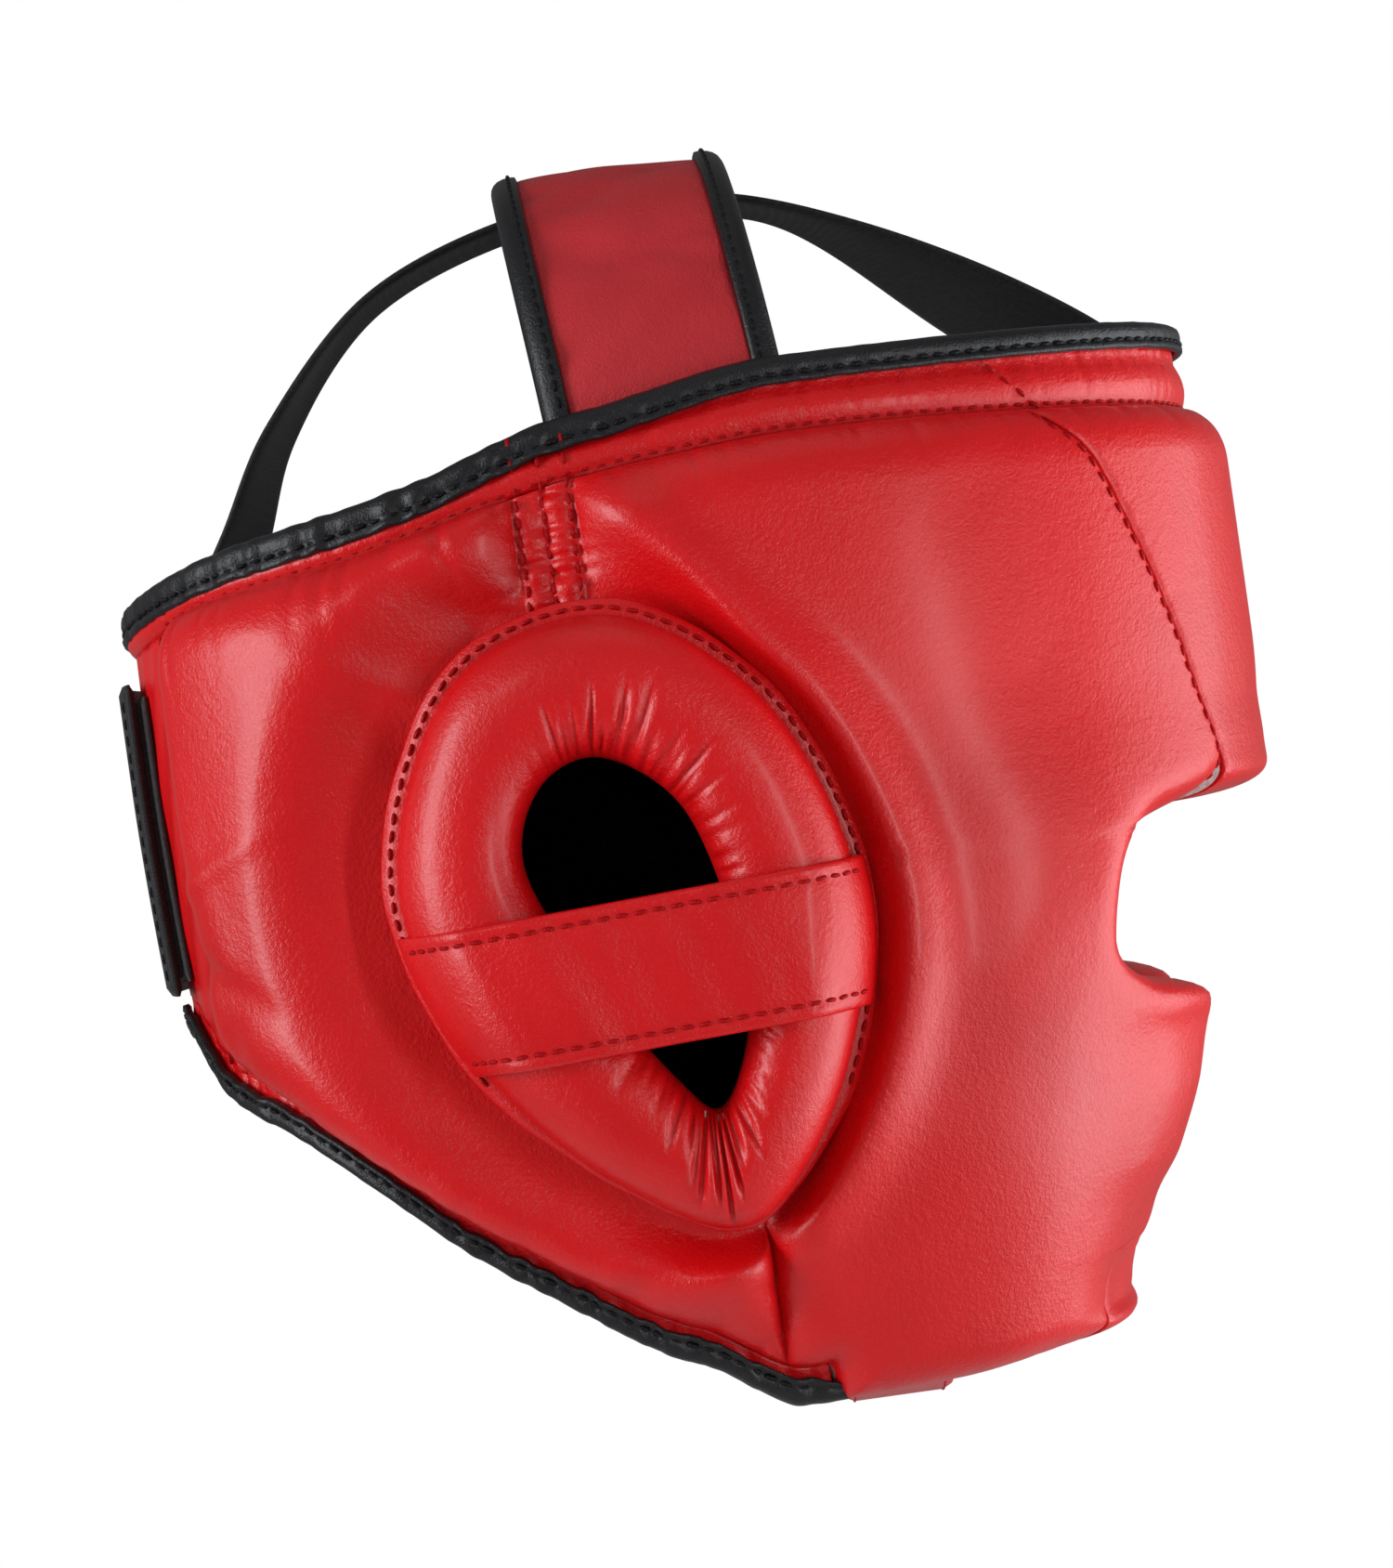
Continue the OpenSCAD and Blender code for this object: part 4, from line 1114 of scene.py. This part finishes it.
def crown_layer(node, section, material, slot, wrinkle=0.0):
    """One layer of the strap. Its section's points are across, depth, and whether they wrinkle."""
    steps = 220
    a = np.linspace(0, 180, steps)
    rng = np.random.default_rng(81)
    marks = [(rng.uniform(15, 165), rng.uniform(-0.9, 0.9), rng.uniform(2.5, 6), rng.uniform(4, 9),
              rng.uniform(-0.9, 0.9)) for _ in range(CROWN_WRINKLES)]
    rings = np.empty((steps, len(section), 3))
    for i, (across, depth, loose) in enumerate(section):
        sunk = np.zeros(steps)
        for at, middle, wide, far, slant in marks:
            d = (a - at - slant * across * 0.6) / wide
            beside = (across / CROWN_HALF_WIDTH - middle) * 12 / far
            sunk += loose * wrinkle * np.exp(-d**2) * math.exp(-(beside**2))
        rings[:, i] = crown_points(a, depth + sunk, across)
    return stand_in(node, *sweep(rings), material, slot)


def crown_strap():
    """The cover, foam and lining, and a binding with its stitches along each edge."""
    w = CROWN_HALF_WIDTH
    across = np.linspace(-w, w, 25)
    crown = 1.4 * (1 - rounding(1 - np.abs(across) / w, 1.6))
    top = [(y, d - 0.9, 1) for y, d in zip(across, crown)]
    under = [(y, SKIN + 0.6, 0) for y in across[::-1]]
    (cover,) = crown_layer("crown_strap_cover", top + under, STRAP_LEATHER, "red_leather", 0.8)
    crown_layer("crown_strap_foam", [(-w, 2.0, 0), (w, 2.0, 0), (w, 3.8, 0), (-w, 3.8, 0)], FOAM, "foam")
    crown_layer("crown_strap_lining",
                [(-w, 4.0, 0), (w, 4.0, 0), (w, 5.2, 0), (0, CROWN_STACK, 0), (-w, 5.2, 0)],
                LINING, "black_lining")
    half = (CROWN_STACK + 1.2) / 2
    middle = CROWN_STACK / 2 - 0.3
    for label, side in (("front", -1), ("rear", 1)):
        fold = [(side * (w + 0.2 + 5.0 * max(math.cos(b), 0) ** 0.8), middle - half * math.sin(b), 0)
                for b in np.linspace(-math.pi / 2, math.pi / 2, 11)]
        legs = [(side * (w - 0.6), middle - half + 0.1, 0), (side * (w - 0.9), middle - half + 0.8, 0),
                (side * (w - 0.9), middle + half - 0.8, 0), (side * (w - 0.6), middle + half - 0.1, 0)]
        section = (fold + legs)[::-side]
        crown_layer(f"crown_strap_{label}_binding", section, BLACK_LEATHER, "black_binding")
        a = np.linspace(6, 174, 300)
        path = crown_points(a, middle - half + 0.05, side * (w + 1.0))
        out = crown_points(a, middle - half - 1, side * (w + 1.0)) - path
        stitch_row(f"crown_{label}_stitches", path, out, BLACK_THREAD, slot="black_binding")


crown_strap()


# ---------------------------------------------------------------- elastic strap
def elastic_strap():
    """A flat elastic from the rear rim over the crown to the brow, cupped and turned a little at its ends."""
    half = node_box("elastic_strap")[1][0]
    k = np.linspace(0.01, 0.985, 200)
    p = spline(ELASTIC_ROUTE, k, False)
    ahead = spline(ELASTIC_ROUTE, k + 0.004, False) - spline(ELASTIC_ROUTE, k - 0.004, False)
    inward = np.stack([-ahead[:, 1], ahead[:, 0]], -1)
    inward /= np.linalg.norm(inward, axis=1, keepdims=True)
    turn = np.radians(27 * smooth((k - 0.62) / 0.22) + 11 * smooth((0.3 - k) / 0.25))
    narrow = 1 - 0.12 * np.sin(np.pi * np.clip(k, 0, 1)) ** 2
    across = np.linspace(-1, 1, 15)
    cup = 1.2 * across**2
    thick = 2.2 * rounding(1 - np.abs(across) * 0.97, 3.0) + 0.3
    section = list(zip(across, cup)) + list(zip(across, cup + thick))[::-1]
    rings = np.empty((len(k), len(section), 3))
    for i, (x, d) in enumerate(section):
        side = x * half * narrow
        depth = d + (side + half) * np.sin(turn)
        q = p + inward * (depth * np.cos(turn))[:, None]
        rings[:, i] = np.stack([side * np.cos(turn), q[:, 0], q[:, 1]], -1)
    points, faces = sweep(rings)
    stand_in("elastic_strap", points, [f[::-1] for f in faces], ELASTIC, "black_elastic")


elastic_strap()


# ---------------------------------------------------------------- rear closure
CLOSURE_LOW, CLOSURE_HIGH = node_box("closure_strap")
CLOSURE_MIDDLE = (CLOSURE_LOW[2] + CLOSURE_HIGH[2]) / 2
CLOSURE_HALF = (CLOSURE_HIGH[2] - CLOSURE_LOW[2]) / 2
CLOSURE_FREE, CLOSURE_SEWN = 163, 203    # angles of the strap's free end and of its sewn edge
SHEET_EDGE = 1.2         # over how far a sheet of the closure thins towards its edge


def closure_sheet(node, first, last, near, far, half, material, slot, body, columns):
    """A sheet on the back of the shell with rounded edges all round."""
    rows = 40
    v, t = np.meshgrid(np.linspace(-1, 1, rows), np.linspace(first, last, columns), indexing="ij")
    z = CLOSURE_MIDDLE + v * half
    reach = np.minimum(half * (1 - np.abs(v)), np.minimum(t - first, last - t) * 1.7)
    soft = rounding(reach / SHEET_EDGE, 2.2)
    middle, thick = (near + far) / 2, (far - near) / 2
    half_thick = thick * (0.25 + 0.75 * soft)
    points, faces = shell_slab(t, z, middle + half_thick, middle - half_thick)
    make(node + "_piece", points, faces, material, body, slot, [node])


def closure():
    """The strap, the sewn end that it swings from, its two patches and its stitches."""
    loop, hook, strap, outer = (BAND_HALF + off for off in (0.25, 1.5, 2.7, 5.1))
    closure_sheet("closure_strap", CLOSURE_FREE, CLOSURE_SEWN - 0.1, strap, outer, CLOSURE_HALF,
                  ELASTIC, "black_elastic", CLOSURE, 70)
    closure_sheet("closure_anchor", CLOSURE_SEWN + 0.2, CLOSURE_SEWN + 5, loop, outer, CLOSURE_HALF,
                  ELASTIC, "black_elastic", SHELL, 16)
    closure_sheet("closure_hook_patch", CLOSURE_FREE + 0.8, CLOSURE_EDGE, hook, strap, CLOSURE_HALF - 4,
                  HOOK_LOOP, "hook_loop", CLOSURE, 20)
    closure_sheet("closure_loop_patch", CLOSURE_FREE - 0.6, CLOSURE_EDGE - 0.6, loop, hook, CLOSURE_HALF - 3,
                  HOOK_LOOP, "hook_loop", SHELL, 24)
    z = np.linspace(CLOSURE_MIDDLE - CLOSURE_HALF + 3, CLOSURE_MIDDLE + CLOSURE_HALF - 3, 30)
    rows = (("closure_free_stitches", CLOSURE_FREE + 1.6, CLOSURE),
            ("closure_anchor_stitches_1", CLOSURE_SEWN + 1.4, SHELL),
            ("closure_anchor_stitches_3", CLOSURE_SEWN + 3.4, SHELL))
    for name, t, body in rows:
        shell_row(name, np.full(30, t), z, outer, BLACK_THREAD, False, body=body, slot="black_elastic")


closure()


# ---------------------------------------------------------------- strap under the chin
CHIN_STRAP_Y = -41.5
CHIN_STRAP_END = -103.0                  # height of the strap's two ends
CHIN_STRAP_SAG = 8.0
CHIN_STRAP_REACH = 49.0                  # half its span
CHIN_STRAP_UNDER = 5.8                   # depth of its underside below the sewing line


def chin_strap_z(x):
    return CHIN_STRAP_END - CHIN_STRAP_SAG * (1 - (x / CHIN_STRAP_REACH) ** 2)


def chin_strip(node, first, last, near, far, half, material, slot, body):
    """A strip that follows the strap's sag, from one depth to another."""
    x = np.linspace(first, last, max(12, int(abs(last - first) / 2)))
    z = chin_strap_z(x)
    across = np.linspace(-1, 1, 13)
    soft = 0.2 + 0.8 * rounding((1 - np.abs(across)) * half / 1.0, 2.2)
    middle, thick = (near + far) / 2, (far - near) / 2
    section = [(c, middle - thick * s) for c, s in zip(across, soft)]
    section += [(c, middle + thick * s) for c, s in list(zip(across, soft))[::-1]]
    lines = [np.stack([x, np.full(len(x), CHIN_STRAP_Y + c * half), z - d], -1) for c, d in section]
    points, faces = sweep(np.stack(lines, 1))
    make(node + "_piece", points, [f[::-1] for f in faces], material, body, slot, [node])


def chin_strap():
    r = CHIN_STRAP_REACH
    under = CHIN_STRAP_UNDER
    strips = (
        ("chin_strap", -r, r, 3.2, under, 12.0, RED_LEATHER, "red_leather", CHIN),
        ("chin_strap_anchor", r + 0.4, r + 4, 0.0, under, 12.0, RED_LEATHER, "red_leather", SHELL),
        ("chin_strap_tab", -r - 4, -r + 37, -2.2, -0.1, 12.0, RED_LEATHER, "red_leather", SHELL),
        ("chin_strap_hook_patch", -r + 3, -r + 33, 1.6, 3.0, 10.0, HOOK_LOOP, "hook_loop", CHIN),
        ("chin_strap_loop_patch", -r + 1, -r + 35, 0.0, 1.4, 11.0, HOOK_LOOP, "hook_loop", SHELL),
    )
    for strip in strips:
        chin_strip(*strip)
    x = np.linspace(-r + 2, r - 2, 60)
    z = chin_strap_z(x) - under
    for label, side in (("front", -1), ("rear", 1)):
        path = np.stack([x, np.full(60, CHIN_STRAP_Y + side * 10.0), z], -1)
        stitch_row(f"chin_strap_{label}_stitches", path, np.tile([0, 0, -1.0], (60, 1)), RED_THREAD_PAINTED_SHADE, CHIN,
                   radius=0.22)


chin_strap()


# ---------------------------------------------------------------- camera, light and floor
CAMERA_DISTANCE = 1030 * MM
CAMERA_Y, CAMERA_Z = -15.6 * MM, 26.7 * MM
CAMERA_ROLL = math.radians(8)
PICTURE_HEIGHT = 359 * MM                    # what the frame's long side covers at the middle plane
SENSOR = 36.0
WORLD_LIGHT = 0.16                           # the white world's strength as light on the object
FLOOR_REACH, FLOOR_Z = 0.34, -0.25           # the floor lies below the main picture
COOL, WHITE = (0.93, 0.96, 1.0), (1.0, 1.0, 1.0)
# Name, place, point aimed at, size, watts and colour
LIGHTS = (
    ("front", (0.1, -1.6, -0.25), (0, -0.05, 0.0), (1.6, 1.3), 19, COOL),
    ("low_front", (-0.45, -1.2, -0.8), (0, -0.05, -0.03), (1.3, 0.8), 9, COOL),
    ("rear", (-0.7, 1.45, 0.3), (0, 0.05, 0.03), (0.6, 1.1), 18, COOL),
    ("upper_left", (-1.45, 0.75, 1.0), (0, 0, 0), (0.35, 0.35), 1.5, WHITE),
    ("strip", (-1.25, -0.85, 0.0), (0, 0, 0), (0.04, 0.7), 4, WHITE),
    ("top", (-0.4, -0.2, 1.5), (0, 0, 0.02), (0.9, 0.9), 1, WHITE),
)


def add_camera():
    cam = bpy.data.objects.new("camera", bpy.data.cameras.new("camera"))
    bpy.context.scene.collection.objects.link(cam)
    cam.data.sensor_width = SENSOR
    cam.data.lens = SENSOR * CAMERA_DISTANCE / PICTURE_HEIGHT
    c, s = math.cos(CAMERA_ROLL), math.sin(CAMERA_ROLL)
    axes = Matrix(((0, 0, -1), (-c, -s, 0), (-s, c, 0))).to_4x4()
    cam.matrix_world = Matrix.Translation((-CAMERA_DISTANCE, CAMERA_Y, CAMERA_Z)) @ axes
    bpy.context.scene.camera = cam


def add_light(name, place, aim, size, watts, colour):
    light = bpy.data.lights.new(name, "AREA")
    light.shape = "RECTANGLE"
    light.size, light.size_y = size
    light.energy = watts
    light.color = colour
    obj = bpy.data.objects.new(name, light)
    bpy.context.scene.collection.objects.link(obj)
    away = Vector(place) - Vector(aim)
    obj.rotation_euler = away.to_track_quat("Z", "Y").to_euler()
    obj.location = place


def add_world():
    """Plain white behind the object, and a softer white as light on it."""
    world = bpy.data.worlds.new("studio")
    bpy.context.scene.world = world
    world.use_nodes = True
    nodes, links = world.node_tree.nodes, world.node_tree.links
    seen = nodes.new("ShaderNodeLightPath")
    strength = nodes.new("ShaderNodeMapRange")
    strength.inputs["To Min"].default_value = WORLD_LIGHT
    strength.inputs["To Max"].default_value = 1.0
    links.new(seen.outputs["Is Camera Ray"], strength.inputs["Value"])
    nodes["Background"].inputs["Color"].default_value = (1, 1, 1, 1)
    links.new(strength.outputs["Result"], nodes["Background"].inputs["Strength"])


def add_floor():
    mesh = bpy.data.meshes.new("floor")
    r, z = FLOOR_REACH, FLOOR_Z
    mesh.from_pydata([(-r, -r, z), (r, -r, z), (r, r, z), (-r, r, z)], [], [(0, 1, 2, 3)])
    floor = bpy.data.objects.new("floor", mesh)
    bpy.context.scene.collection.objects.link(floor)
    mat, shader, at, add, links = new_material("floor", 0.9)
    tint = add("ShaderNodeTexNoise", Vector=at, Scale=3.0)
    links.new(ramp(add, tint.outputs["Fac"], [(0.3, (0.90, 0.90, 0.90)), (0.7, (0.94, 0.94, 0.94))]),
              shader.inputs["Base Color"])
    mesh.materials.append(mat)


add_camera()
add_world()
add_floor()
for light in LIGHTS:
    add_light(*light)
bpy.context.scene.view_settings.view_transform = "Standard"
